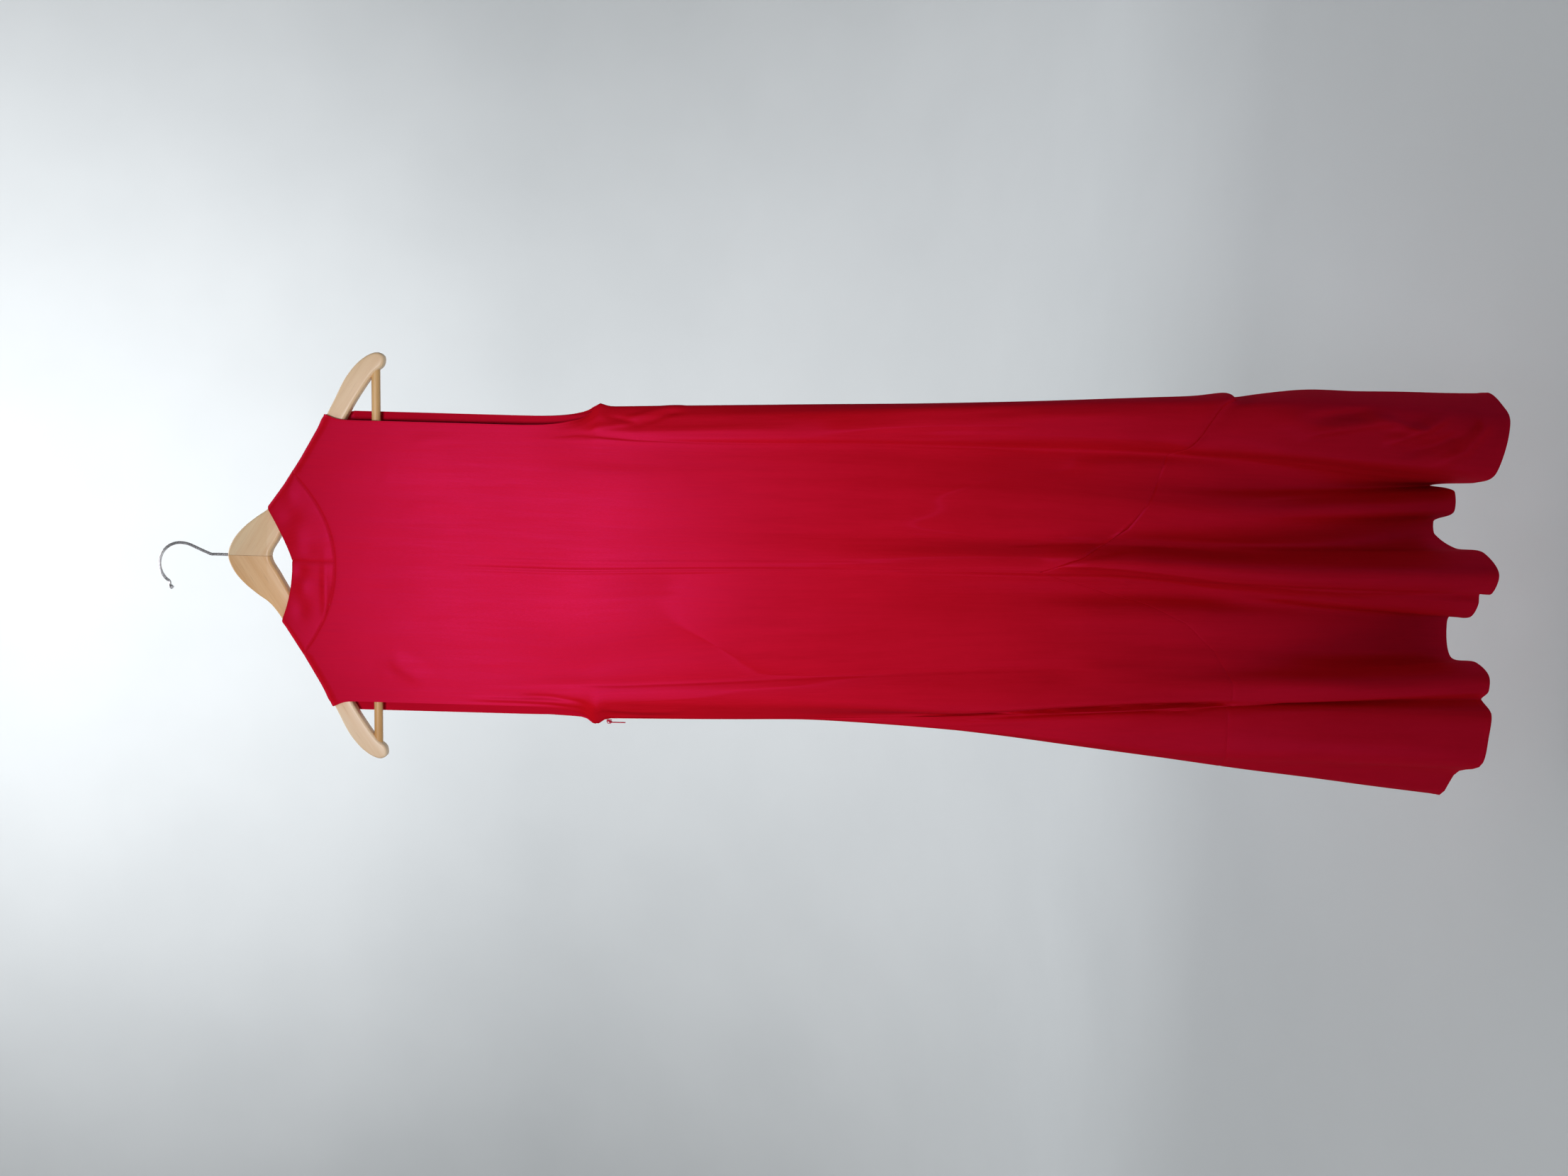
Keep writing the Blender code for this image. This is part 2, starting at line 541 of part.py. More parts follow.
def band_line(side, hand, u, v):
    """A point of the neck band: u runs from the centre (0) to the shoulder line (1), v from the neck
    edge (0) to the seam (1). hand is -1 for the left half and 1 for the right."""
    shoulder_edge = NECK_MIDDLE + hand * BAND_TOP_HALF_WIDTH
    shoulder_seam = NECK_MIDDLE + hand * NECK_HALF_WIDTH
    middle = CENTRE_BACK if side == BACK else CENTRE_FRONT
    middle_edge = BAND_TOP_BACK if side == BACK else V_NECK
    edge_x = middle + (shoulder_edge - middle) * u
    rise = u ** BAND_TOP_RISE[hand] if side == BACK else u
    edge_z = middle_edge + (arm_top(shoulder_edge) + RIDGE - middle_edge) * rise
    seam_x = middle + (shoulder_seam - middle) * u
    seam_z = neck_seam(side, seam_x)
    x = edge_x + (seam_x - edge_x) * v
    z = edge_z + (seam_z - edge_z) * v
    top_x = shoulder_edge + (shoulder_seam - shoulder_edge) * v
    straight = arm_top(shoulder_edge) + (arm_top(shoulder_seam) - arm_top(shoulder_edge)) * v
    return x, z + (arm_top(top_x) - straight) * u**6


def band_stations(side, hand):
    """How far along the neck seam each column of the body meets it, from the centre to the shoulder."""
    chest_x = skin(side, columns_of(side), CHEST)[..., 0]
    middle = CENTRE_BACK if side == BACK else CENTRE_FRONT
    u = (chest_x - middle) / (NECK_MIDDLE + hand * NECK_HALF_WIDTH - middle)
    u = np.sort(u[(u > -0.001) & (u < 1.001)])
    return np.concatenate([[0.0], u[1:-1], [1.0]])


def make_neck_band(parts):
    v = np.linspace(0, 1, 4)
    for name, hand in (("neck_band_left", -1), ("neck_band_right", 1)):
        outer, normals = [], []
        for side, stations in ((BACK, band_stations(BACK, hand)), (FRONT, band_stations(FRONT, hand)[-2::-1])):
            def surface(a, b, side=side):
                return np.stack([a, side * drape(a, b), b], axis=-1)
            for u in stations:
                x, z = band_line(side, hand, u, v)
                outer.append(surface(x, z))
                normals.append(-side * outward(surface, x, z, small_a=0.002))
        outer, normals = np.array(outer), np.array(normals)
        add_piece(name, cloth_wall(outer, outer - WALL * normals), "satin", parts)


def make_armhole_facings(parts):
    """Narrow strips inside the front's armhole edges."""
    last = len(FRONT_FOLDS) - 1
    heights = np.linspace(-432, -216, 9)[:, None]
    for name, t in (("armhole_facing_left", np.linspace(0, FACING_FOLDS, 5)),
                    ("armhole_facing_right", np.linspace(last - 0.95, last, 5))):
        t, z = np.broadcast_arrays(t, heights)
        panel = skin(FRONT, t, z)
        normal = -FRONT * outward(lambda a, b: skin(FRONT, a, b), t, z)
        outer = panel - (WALL + FACING_GAP) * normal
        add_piece(name, cloth_wall(outer, outer - FACING_WALL * normal), "satin facing", parts)


# ---- the zip --------------------------------------------------------------------------------

def zip_place():
    """The side seam's outermost point at the slider: sideways, along Y."""
    x, y, _ = skin(BACK, 0.0, ZIP_LEVEL)
    return x, y


def make_zip(parts):
    seam_x, seam_y = zip_place()
    half = Vector(SLIDER_SIZE) / 2
    back = seam_x - SLIDER_GAP
    face = back - SLIDER_SIZE[0]
    body = block((face, seam_y - half.y, ZIP_LEVEL - half.z), (back, seam_y + half.y, ZIP_LEVEL + half.z), 0.4)
    bridge = block((face - BRIDGE_STAND, seam_y - BRIDGE_WIDTH / 2, ZIP_LEVEL - 2.4),
                   (face + 0.5, seam_y + BRIDGE_WIDTH / 2, ZIP_LEVEL + 2.4))
    window = block((face - BRIDGE_STAND + BRIDGE_BAR, seam_y - 3, ZIP_LEVEL - 2.4 + BRIDGE_BAR),
                   (face, seam_y + 3, ZIP_LEVEL + 2.4 - BRIDGE_BAR))
    bridge = cut(bridge, window)
    add_piece("zip_slider", joined(body, bridge), "red lacquer", parts)

    hinge_x = face - (BRIDGE_STAND - BRIDGE_BAR) / 2
    bm = bmesh.new()
    bmesh.ops.create_cube(bm, size=1.0)
    top, bottom = 0.5 * BRIDGE_BAR, 0.5 * BRIDGE_BAR - PULL_LENGTH
    for vert in bm.verts:
        width = PULL_WIDTH / 2 * (1.0 if vert.co.z > 0 else 0.8)
        vert.co = Vector((PULL_THICK * vert.co.x, 2 * width * vert.co.y, top if vert.co.z > 0 else bottom))
    upright = [e for e in bm.edges if abs(e.verts[0].co.y - e.verts[1].co.y) < 1e-6
               and abs(e.verts[0].co.z - e.verts[1].co.z) < 1e-6]
    bmesh.ops.bevel(bm, geom=upright, offset=1.0, segments=3, affect="EDGES", profile=0.5)
    bm.transform(Matrix.Scale(MM, 4))
    tab = mesh_from(bm, "tab")
    eye = block((-3, -PULL_EYE[0] / 2, -BRIDGE_BAR / 2 - PULL_EYE[1]), (3, PULL_EYE[0] / 2, -BRIDGE_BAR / 2))
    tab = cut(tab, eye)
    tab.transform(Matrix.Translation(Vector((hinge_x, seam_y, ZIP_LEVEL)) * MM))
    add_piece("zip_pull", tab, "red lacquer", parts)


def joined(mesh, other):
    """Two meshes as one body, by an exact Boolean union."""
    scene = bpy.context.scene.collection
    body = bpy.data.objects.new("body", mesh)
    tool = bpy.data.objects.new("tool", other)
    scene.objects.link(body)
    scene.objects.link(tool)
    modifier = body.modifiers.new("join", "BOOLEAN")
    modifier.operation = "UNION"
    modifier.object = tool
    depsgraph = bpy.context.evaluated_depsgraph_get()
    result = bpy.data.meshes.new_from_object(body.evaluated_get(depsgraph))
    bpy.data.objects.remove(body)
    bpy.data.objects.remove(tool)
    return result


def main():
    empty_the_scene()
    parts = bpy.data.collections.new("satin maxi dress")
    bpy.context.scene.collection.children.link(parts)
    make_hanger(parts)
    make_body(parts)
    make_flounces(parts)
    make_neck_band(parts)
    make_armhole_facings(parts)
    make_zip(parts)


main()
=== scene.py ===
"""A crimson satin maxi dress with a flounce, hanging with its back outward on a wooden hanger.

The cloth is laid as fine grids on the same fold lines as the solid dress, with the creases, seams and
hems of the sewn garment added. Lengths in the tables are millimetres, in the part's own frame: +X to
the viewer's right, +Z up, -Y towards the viewer, and the origin on the inside top of the hook.
"""

from collections import namedtuple
from math import cos, pi, radians, sin

import bpy
import numpy as np
from mathutils import Matrix, Vector


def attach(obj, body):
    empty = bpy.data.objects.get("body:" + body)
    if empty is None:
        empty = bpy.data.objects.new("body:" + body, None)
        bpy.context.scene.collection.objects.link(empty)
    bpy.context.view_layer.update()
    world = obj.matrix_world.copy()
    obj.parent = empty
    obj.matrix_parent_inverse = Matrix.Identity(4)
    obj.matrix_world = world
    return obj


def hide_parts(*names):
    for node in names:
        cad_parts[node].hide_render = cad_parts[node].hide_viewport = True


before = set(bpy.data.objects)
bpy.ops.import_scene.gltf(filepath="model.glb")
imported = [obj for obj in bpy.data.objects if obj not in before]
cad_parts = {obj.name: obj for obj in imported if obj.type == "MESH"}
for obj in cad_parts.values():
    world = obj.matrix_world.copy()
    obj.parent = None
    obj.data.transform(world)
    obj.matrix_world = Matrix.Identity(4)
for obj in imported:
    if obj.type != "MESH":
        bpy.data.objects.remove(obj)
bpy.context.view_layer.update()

MM = 0.001

# The hanger
CENTRE = 12.0
ARM_THICK, ARM_ROUNDING, MITRE_GAP = 12.0, 3.2, 0.24
ARM_TOP = [(0, -77), (17, -83), (31, -94.5), (43, -109), (54, -124), (80, -143), (110, -162),
           (143, -181), (171, -196), (200, -211), (217, -225), (226, -238), (228, -247)]
ARM_BOTTOM = [(224, -253), (214, -252), (206, -243), (179, -224), (155, -210), (100, -179),
              (41, -146), (20, -134), (0, -124)]
BAR_RADIUS, BAR_LEVEL, BAR_HALF_LENGTH = 4.75, -243.0, 217.0
WIRE_RADIUS, HOOK_RADIUS, HOOK_SHANK = 1.6, 24.0, 13.0

# The cloth: its thickness, how high its top is above the wood, and how far its sides hang from the middle
CLOTH, RIDGE, HANG = 0.9, 3.1, 9.3
CHEST, UNDERARM, WAIST, HIP, KNEE, HEM = -340.0, -490.0, -700.0, -950.0, -1200.0, -1447.0
LEVELS = np.array([UNDERARM, WAIST, HIP, KNEE, HEM])
ARMHOLE_CURVE = 6.0
CHEST_CLOSING, ARMHOLE_CLOSING, CLOSING_REACH = 1.6, 6.0, 25.0
SOFT_TURN = 24.0
ARMPIT_FLARE, ARMPIT_REACH = 7.5, 8.0
FLARE_SHARES = (1.0, 0.85, 0.5, 0.2)
NECK_HALF_WIDTH, NECK_MIDDLE = 104.0, 4.5
NECK_SEAM_LOW, NECK_SEAM_RISE = -198.5, 2.1
CENTRE_BACK, CENTRE_FRONT = 8.0, 6.0
BAND_TOP_BACK, BAND_TOP_HALF_WIDTH = -151.0, {-1: 68.0, 1: 64.0}
BAND_TOP_RISE = {-1: 2.2, 1: 1.2}
V_NECK, V_SEAM = -300.0, -350.0
BAND_WIDTH, BAND_THICK, BAND_ROLL = 41.0, 1.3, 0.9
SHOULDER_TIP, TIP_REACH, TIP_WIDTH = {-1: -156.5, 1: 171.0}, 15.0, 22.0
PANEL_LENGTH, FLOUNCE_LENGTH = 1000.0, 330.0
LIP_HEIGHT, LIP_RISE, LIP_REACH = 3.4, 2.2, 26.0
TUCK_DEPTH, TUCK_RISE, TUCK_REACH = 2.6, 3.0, 24.0
# where the flounce springs out below its seam at the right: how far, how far down, and over what length
SPRINGS, SPRING_WIDTH = ((6.0, 84.0, 48.0), (3.2, 168.0, 55.0)), 26.0
ARMHOLE_TURNING, HEM_TURNING, ALLOWANCE = 7.0, 6.0, 7.0
FACING_TOP, FACING_END, FACING_WIDTH = -216, -484, 9
SLIDER = (-167.3, -0.15, -505.5)

# across: sideways place at the chest, underarm, waist, hip, knee and hem.
# out: how far the line stands out from the hanger's plane at the underarm, waist, hip, knee and hem.
# seam: the height of the flounce seam on this line; hem: the height of the hem, where it isn't HEM.
Fold = namedtuple("Fold", "name across out seam hem", defaults=[HEM])

BACK_FOLDS = [Fold(*row) for row in (
    ("left side seam", (-149.5, -163, -158, -144, -124, -110), (0, 2, 10, 28, 97), -1195),
    ("left valley", (-146.5, -154, -151, -142, -122, -97), (8, 9, 6, 19, 84), -1197, -1443),
    ("left ridge", (-142.5, -142, -136, -137.5, -118.5, -88), (16, 24, 35, 45, 88), -1194),
    ("left pleat", (-136, -133, -119, -106, -95, -73), (17, 27, 39, 49, 87), -1192),
    ("left crease", (-129, -123, -107, -88, -80, -62), (15.8, 24.5, 35, 41.5, 63), -1186),
    ("left panel", (-108, -98, -84, -66, -60, -63), (17, 26, 36, 37, 12), -1174),
    ("left hollow", (-70, -60, -48, -36, -30, -32), (20, 29, 37, 34, 0), -1140),
    ("centre valley", (-30, -22, -16, -9, -8, -19), (21, 30, 35, 31, 4), -1085, -1446),
    ("centre lap", (-20, -14, -7, 0, -2, -13), (21.5, 30.5, 35, 31, 44), -1050),
    ("centre step", (-8, -3, 4, 10, 8, 1), (22, 31, 36.5, 35, 56), -1014),
    ("centre tuck", (1, 4, 11, 16, 13, 12.5), (22, 31.5, 37, 39, 57), -992),
    ("centre back", (8, 10, 17, 21, 17, 15), (22, 32, 42, 49, 78), -978),
    ("centre crest", (30, 30, 34, 37, 33, 36), (22, 31.5, 44, 58, 88), -1014),
    ("centre edge", (50, 48, 52, 54, 49, 57), (21, 29, 33, 36, 58), -1046, -1446),
    ("centre side", (58, 55, 59, 60, 55, 59.5), (20.5, 28.5, 33.5, 33, 14), -1054, -1438),
    ("right hollow", (74, 70, 74, 74, 66, 74), (20, 28, 36, 38, -4), -1071, -1424),
    ("ripple edge", (89, 85, 89, 89, 82, 89), (19.5, 27.5, 37, 43, -2), -1081, -1420),
    ("right ripple", (104, 100, 104, 103, 94, 99), (19, 27, 38, 46, 22), -1089, -1430),
    ("right lap", (117, 114, 117, 117, 106, 122), (18, 26, 36, 41, 19), -1095, -1431),
    ("right slot", (130, 126, 129, 129, 118, 128), (16, 25, 34, 32, -8), -1100, -1416),
    ("right crease", (146, 145, 150, 152, 147, 130.5), (14.5, 23.5, 31.5, 34, 32), -1110, -1445),
    ("right edge", (150, 152, 158, 164, 157, 140), (14.5, 27, 42, 55, 66), -1130),
    ("right ridge", (156, 169, 181, 196, 204, 195), (11, 22, 49, 70, 83), -1157),
    ("right outer", (160, 178, 188, 201.5, 212, 211), (8, 17, 43, 62, 68), -1171),
    ("right side seam", (165, 188, 196, 203, 217, 227), (0, 1, 2, 5, 36), -1178),
)]
FRONT_FOLDS = [Fold(*row) for row in (
    ("left side seam", (-162, -163, -158, -144, -124, -110), (0, -2, -10, -28, -97), -1195),
    ("left wing", (-159, -163.5, -158.5, -156, -148, -136), (1.6, 0, -9, -31, -96), -1197),
    ("left wing turn", (-155.5, -162.5, -158, -167, -180, -167), (3.4, 2.4, -5, -22, -88), -1200),
    ("left wing hollow", (-153, -161, -156.5, -169, -190, -187), (4.6, 4.2, -1, -9, -43), -1202),
    ("left edge", (-150.5, -159.5, -155, -170, -198, -221), (6, 5.6, 2, 1, -15), -1203),
    ("left return", (-142, -151, -146, -157, -182, -202), (9.2, 9.4, 12, 15, 14), -1200, -1446),
    ("left hollow", (-120, -125, -120, -122, -132, -136), (11, 12, 10, 4, -22), -1190, -1440),
    ("left front", (-85, -84, -80, -76, -76, -76), (13, 15, 18, 22, 24), -1170),
    ("centre left", (-38, -36, -34, -30, -28, -28), (14, 15, 14, 12, 14), -1090, -1444),
    ("centre front", (6, 7, 10, 12, 14, 20), (14, 15, 12, 2, -16), -1000, -1440),
    ("centre right", (52, 50, 52, 56, 60, 66), (14, 16, 17, 17, 23), -1070, -1424),
    ("right front", (98, 98, 100, 104, 110, 120), (13, 15, 18, 22, 27), -1140, -1408),
    ("right hollow", (140, 146, 148, 152, 160, 168), (11, 12, 12, 5, -8), -1166, -1436),
    ("right return", (166, 176, 182, 190, 200, 212), (9, 9, 10, 11, 8), -1174, -1446),
    ("right side seam", (176, 188, 196, 203, 217, 227), (0, -1, -2, -5, -36), -1178),
)]
BACK, FRONT = -1.0, 1.0
TABLES = {BACK: BACK_FOLDS, FRONT: FRONT_FOLDS}

# A crease is a soft ridge (height above 0) or trough (below 0) along a path, whose points run from the top
# down. left and right: how far it spreads to either side of the path. x and z: the path's points. start and
# end: the shares of its length over which it rises and dies out. crisp: -1 or 1 where the cloth breaks
# sharply at the path, falls away evenly to its left or right, and has a flatter back on the other side.
Crease = namedtuple("Crease", "height left right x z start end crisp", defaults=[0.35, 0.35, 0])

BACK_CREASES = [Crease(*row) for row in (
    # the yoke and shoulders
    (0.9, 7, 12, (-97, -106, -118, -130), (-252, -268, -286, -303)),
    (-0.35, 11, 9, (-84, -100, -112), (-262, -286, -320)),
    (0.35, 5, 9, (64, 71, 75, 76), (-262, -290, -325, -380)),
    (-0.25, 12, 8, (52, 60, 64), (-266, -310, -390)),
    (0.35, 5, 6, (142, 146, 149), (-280, -305, -345)),
    (0.18, 5, 5, (-132, -110, -90), (-256, -253, -250)),
    (0.15, 5, 5, (-128, -106, -88), (-272, -268, -266)),
    (0.15, 5, 5, (88, 106, 124), (-252, -258, -262)),
    # the long lines of the body
    (1.0, 2.6, 2.6, (-143, -143, -144, -148), (-340, -400, -445, -478), 0.3, 0.2),
    (-0.9, 2.4, 3.0, (-138, -138, -142, -150), (-400, -440, -470, -494), 0.3, 0.2),
    (-1.0, 2.0, 7, (-129, -124, -121, -114, -103, -94, -88, -84),
     (-345, -440, -524, -622, -753, -866, -960, -1080), 0.3, 0.2),
    (0.25, 6, 6, (-146, -140, -136, -131, -126, -122), (-430, -524, -640, -754, -880, -1010)),
    (0.4, 15, 15, (4, 8, 14, 18, 23, 25), (-400, -523, -650, -749, -880, -975)),
    (-1.0, 8, 12, (-10, -8, -5, -3, 0), (-800, -862, -940, -1010, -1072)),
    (-0.8, 10, 7, (40, 42, 45, 47), (-740, -796, -900, -1003)),
    (0.35, 12, 14, (-58, -48, -30, -12, -1), (-680, -740, -810, -880, -960)),
    (0.25, 6, 9, (42, 46, 51, 50, 48), (-730, -780, -830, -880, -930)),
    (-0.9, 1.6, 2.6, (48, 52, 54), (-930, -985, -1042), 0.4, 0.06),
    (-0.9, 1.4, 4, (150, 156, 152, 151, 152, 154, 153, 151),
     (-420, -470, -530, -600, -681, -777, -920, -1040), 0.2, 0.2),
    (0.9, 4, 5, (160, 163, 161, 165, 167, 167), (-431, -480, -530, -620, -700, -735), 0.3, 0.3),
    (1.5, 4, 8, (158, 164, 172, 177, 180), (-700, -740, -800, -870, -993), 0.3, 0.3),
    (-1.2, 14, 12, (128, 132, 136, 146), (-780, -841, -999, -1100)),
    (-1.5, 3, 4, (166, 172, 183, 184, 178), (-520, -546, -570, -580, -590)),
    (1.5, 4, 3, (172, 180, 188, 190, 180), (-512, -540, -566, -582, -594)),
    (-1.6, 4, 5, (171, 178, 186), (-462, -474, -483), 0.2, 0.2),
    (1.2, 3, 4, (160, 166, 170, 170), (-474, -496, -530, -560)),
    (-1.0, 3, 3, (178, 174, 166), (-496, -520, -544)),
    (-1.6, 3, 3, (-150, -157, -159, -156), (-488, -510, -545, -590)),
    (1.4, 3, 4, (-144, -150, -152, -148), (-470, -505, -548, -610)),
    # the folds that open into the flounce
    (11.0, 3.0, 24, (25, 28, 30, 28, 24, 18, 13, 10, 9, 11, 12),
     (-974, -1000, -1030, -1067, -1112, -1165, -1211, -1260, -1304, -1372, -1452), 0.12, 0.5, -1),
    (3.0, 14, 10, (37, 42, 43, 40, 34, 34, 33, 33),
     (-985, -1030, -1060, -1124, -1200, -1290, -1364, -1450), 0.15, 0.2),
    (-2.4, 12, 4, (18, 20, 16, 12, 6, 1), (-985, -1030, -1067, -1112, -1165, -1211), 0.25, 0.3),
    (-3.0, 4, 6, (29, 35, 41, 45, 47), (-984, -1008, -1032, -1058, -1090), 0.35, 0.4),
    (-5.0, 8, 13, (58, 60, 59, 58, 60), (-1040, -1090, -1180, -1280, -1400), 0.25, 0.3),
    (2.8, 14, 10, (97, 102, 103, 104, 106), (-1090, -1150, -1220, -1300, -1400), 0.3, 0.3),
    (4.2, 12, 9, (-86, -84, -84, -86, -88), (-1000, -1110, -1200, -1290, -1380), 0.15, 0.3),
    (3.8, 12, 9, (136, 140, 140, 136), (-990, -1060, -1120, -1200), 0.25, 0.25),
    (-3.4, 12, 14, (-58, -56, -56, -58, -62), (-1020, -1110, -1200, -1290, -1380), 0.3, 0.3),
    (4.4, 16, 16, (-22, -22, -22, -24), (-960, -1080, -1160, -1240), 0.3, 0.3),
    (2.0, 1.5, 1.7, (48, 52, 57, 66, 80, 101), (-1038, -1045, -1052, -1062, -1075, -1089), 0.15, 0.8),
    (0.8, 0.8, 0.8, (-2, 8, 19), (-1072, -1074, -1078), 0.2, 0.2),
    (1.5, 16, 10, (84, 86, 88, 93, 98), (-1100, -1150, -1220, -1300, -1400), 0.3, 0.3),
    (-4.0, 8, 4.0, (99, 103, 109, 114, 119, 123), (-1180, -1220, -1273, -1326, -1378, -1432), 0.4, 0.08),
    (3.6, 2.4, 18, (152, 146, 140, 134, 131), (-1180, -1242, -1303, -1365, -1448), 0.2, 0.1),
    (-2.5, 7, 9, (-86, -84, -80, -74, -66, -62), (-1040, -1117, -1196, -1272, -1348, -1440), 0.35, 0.2),
    (1.6, 9, 7, (-104, -103, -98, -92, -84), (-1010, -1110, -1220, -1330, -1440), 0.35, 0.2),
    (-12.0, 2.4, 2.8, (-153, -144, -133, -124, -119, -117),
     (-830, -905, -1000, -1100, -1180, -1215), 0.35, 0.12),
    (-1.2, 1.6, 2.2, (-117, -115, -110, -98), (-1190, -1260, -1330, -1449), 0.12, 0.05),
    (1.4, 3, 8, (-4, -8, -12, -14), (-1230, -1300, -1380, -1452), 0.3, 0.05),
    (-3.0, 8, 9, (-8, -6, -5, -6, -10, -14), (-913, -992, -1072, -1150, -1260, -1360)),
    (-4.2, 9, 8, (152, 156, 157, 155), (-880, -1005, -1100, -1150), 0.4, 0.2),
    # the bulge over the right seam, and the pulls of the right lobe
    (4.0, 9, 8, (174, 182, 188, 191, 192), (-870, -920, -970, -1050, -1120), 0.45, 0.4),
    (5.0, 12, 14, (186, 188, 190, 192), (-1186, -1215, -1250, -1290), 0.6, 0.6),
    (6.0, 5, 8, (170, 180, 187, 192), (-1225, -1262, -1300, -1340), 0.5, 0.3),
    (-4.5, 7, 5, (190, 196, 204), (-1225, -1270, -1330), 0.4, 0.4),
    (6.5, 5, 7, (166, 176, 190, 204), (-1318, -1345, -1372, -1392), 0.3, 0.4),
    (-5.0, 7, 6, (158, 168, 184), (-1340, -1374, -1410), 0.3, 0.3),
    (5.0, 7, 5, (146, 162, 188, 206), (-1378, -1404, -1420, -1416), 0.3, 0.3),
    (4.0, 6, 5, (202, 190, 180, 172), (-1290, -1330, -1362, -1390), 0.4, 0.3),
)]
FRONT_CREASES = [Crease(*row) for row in (
    (-2.2, 1.6, 2.0, (-153, -149, -141, -136, -133, -132, -127, -120),
     (-880, -924, -1010, -1060, -1110, -1150, -1176, -1192), 0.3, 0.1),
    (1.6, 3, 6, (-162, -157, -150, -144, -140), (-840, -900, -980, -1060, -1130)),
    (1.2, 6, 8, (-168, -178, -184, -184), (-900, -1010, -1120, -1240)),
    (-1.5, 10, 9, (-182, -186, -182), (-1230, -1330, -1440)),
    (1.2, 9, 9, (-160, -156, -150), (-1220, -1330, -1440)),
    (1.0, 10, 12, (-60, -56, -60, -68, -70), (-420, -600, -800, -1000, -1180)),
    (-1.1, 12, 10, (20, 22, 20, 16), (-480, -700, -900, -1100)),
    (1.2, 10, 11, (70, 74, 84, 96), (-400, -620, -860, -1080)),
    (-0.9, 9, 10, (110, 116, 124), (-520, -760, -980)),
    (1.1, 6, 8, (-112, -100, -96), (-470, -540, -640)),
    (1.3, 5, 7, (150, 140, 132), (-492, -540, -600)),
)]
CREASES = {BACK: BACK_CREASES, FRONT: FRONT_CREASES}
BOLD = 3.5

# Small pulls in the back of the neck band: x, z, how wide, how tall and how high.
BAND_PULLS = ((-46, -160, 13, 9, -1.2), (-22, -163, 11, 7, 1.0), (-24, -188, 34, 4, 1.3),
              (-4, -160, 9, 7, -1.1), (34, -158, 16, 10, 0.9), (56, -150, 10, 12, -1.1),
              (84, -150, 12, 8, 0.8), (20, -170, 8, 9, -0.6))


# ---- the form of the dress ----------------------------------------------------------------

def soft_step(value, low, high):
    f = np.clip((value - low) / (high - low), 0.0, 1.0)
    return f * f * (3 - 2 * f)


def hill(distance, width):
    """1 at no distance, falling away evenly on both sides."""
    return np.exp(-((distance / width) ** 2))


def cubic(f, start, lead, end, trail):
    """A point of the curve from start to end that leaves along lead and arrives along trail."""
    return ((2 * f**3 - 3 * f**2 + 1) * start + (f**3 - 2 * f**2 + f) * lead
            + (3 * f**2 - 2 * f**3) * end + (f**3 - f**2) * trail)


def cubic_between(near, gaps, f):
    """A point between the middle two of four points, on a smooth curve through all four."""
    chord = near[2] - near[1]
    lead = chord + gaps[1] * ((near[1] - near[0]) / gaps[0] - (near[2] - near[0]) / (gaps[0] + gaps[1]))
    trail = chord + gaps[1] * ((near[3] - near[2]) / gaps[2] - (near[3] - near[1]) / (gaps[1] + gaps[2]))
    return cubic(f, near[1], lead, near[2], trail)


def arm_top(x):
    """The height of the wood's upper edge."""
    away, heights = np.array(ARM_TOP, float).T
    return np.interp(np.abs(np.asarray(x, float) - CENTRE), away, heights)


def smooth_at(values, z):
    """Each fold line's value at the heights z, on a smooth curve through its values at the levels."""
    slopes = np.gradient(values, LEVELS, axis=1)
    k = np.clip(np.searchsorted(-LEVELS, -z) - 1, 0, len(LEVELS) - 2)
    span = LEVELS[k + 1] - LEVELS[k]
    f = (z - LEVELS[k]) / span
    return cubic(f, values[:, k], span * slopes[:, k], values[:, k + 1], span * slopes[:, k + 1])


def fold_lines(side, z):
    """The place of every fold line of one side at the heights z: sideways, and along Y. The curve into the
    underarm's level is sharp beside the armholes and soft in the middle of the cloth."""
    across = np.array([fold.across for fold in TABLES[side]], float)
    out = np.array([fold.out for fold in TABLES[side]], float)
    chest = across[:, 0].reshape(-1, *([1] * np.ndim(z)))
    from_edge = np.minimum(chest - chest[0], chest[-1] - chest)
    closing = CHEST_CLOSING + (ARMHOLE_CLOSING - CHEST_CLOSING) * np.exp(-from_edge / CLOSING_REACH)
    shapes = []
    for risen in (np.maximum(z - UNDERARM, 0.0), np.logaddexp(0, (z - UNDERARM) / SOFT_TURN) * SOFT_TURN):
        down = 1 - np.clip(risen / (CHEST - UNDERARM), 0.0, 1.0)
        low = z - risen
        x = chest + (smooth_at(across[:, 1:], low) - chest) * down**ARMHOLE_CURVE
        shapes.append((x, HANG + (smooth_at(out, low) - HANG) * down**closing))
    (x, y), (soft_x, soft_y) = shapes
    soft = soft_step(from_edge, 8.0, 40.0)
    x, y = x + (soft_x - x) * soft, y + (soft_y - y) * soft
    flare = ARMPIT_FLARE * hill(z - UNDERARM, ARMPIT_REACH)
    for k, share in enumerate(FLARE_SHARES):
        x[k] = x[k] - share * flare
        x[-1 - k] = x[-1 - k] + share * flare / 2
    return x, side * y


def drape(x, z):
    """How far the skin is from the hanger's plane where it comes down over the wood."""
    below = np.clip((arm_top(x) + RIDGE - z) / HANG, 0.0, 1.0)
    return HANG * np.sqrt(np.maximum(0.0, 1 - (1 - below) ** 2))


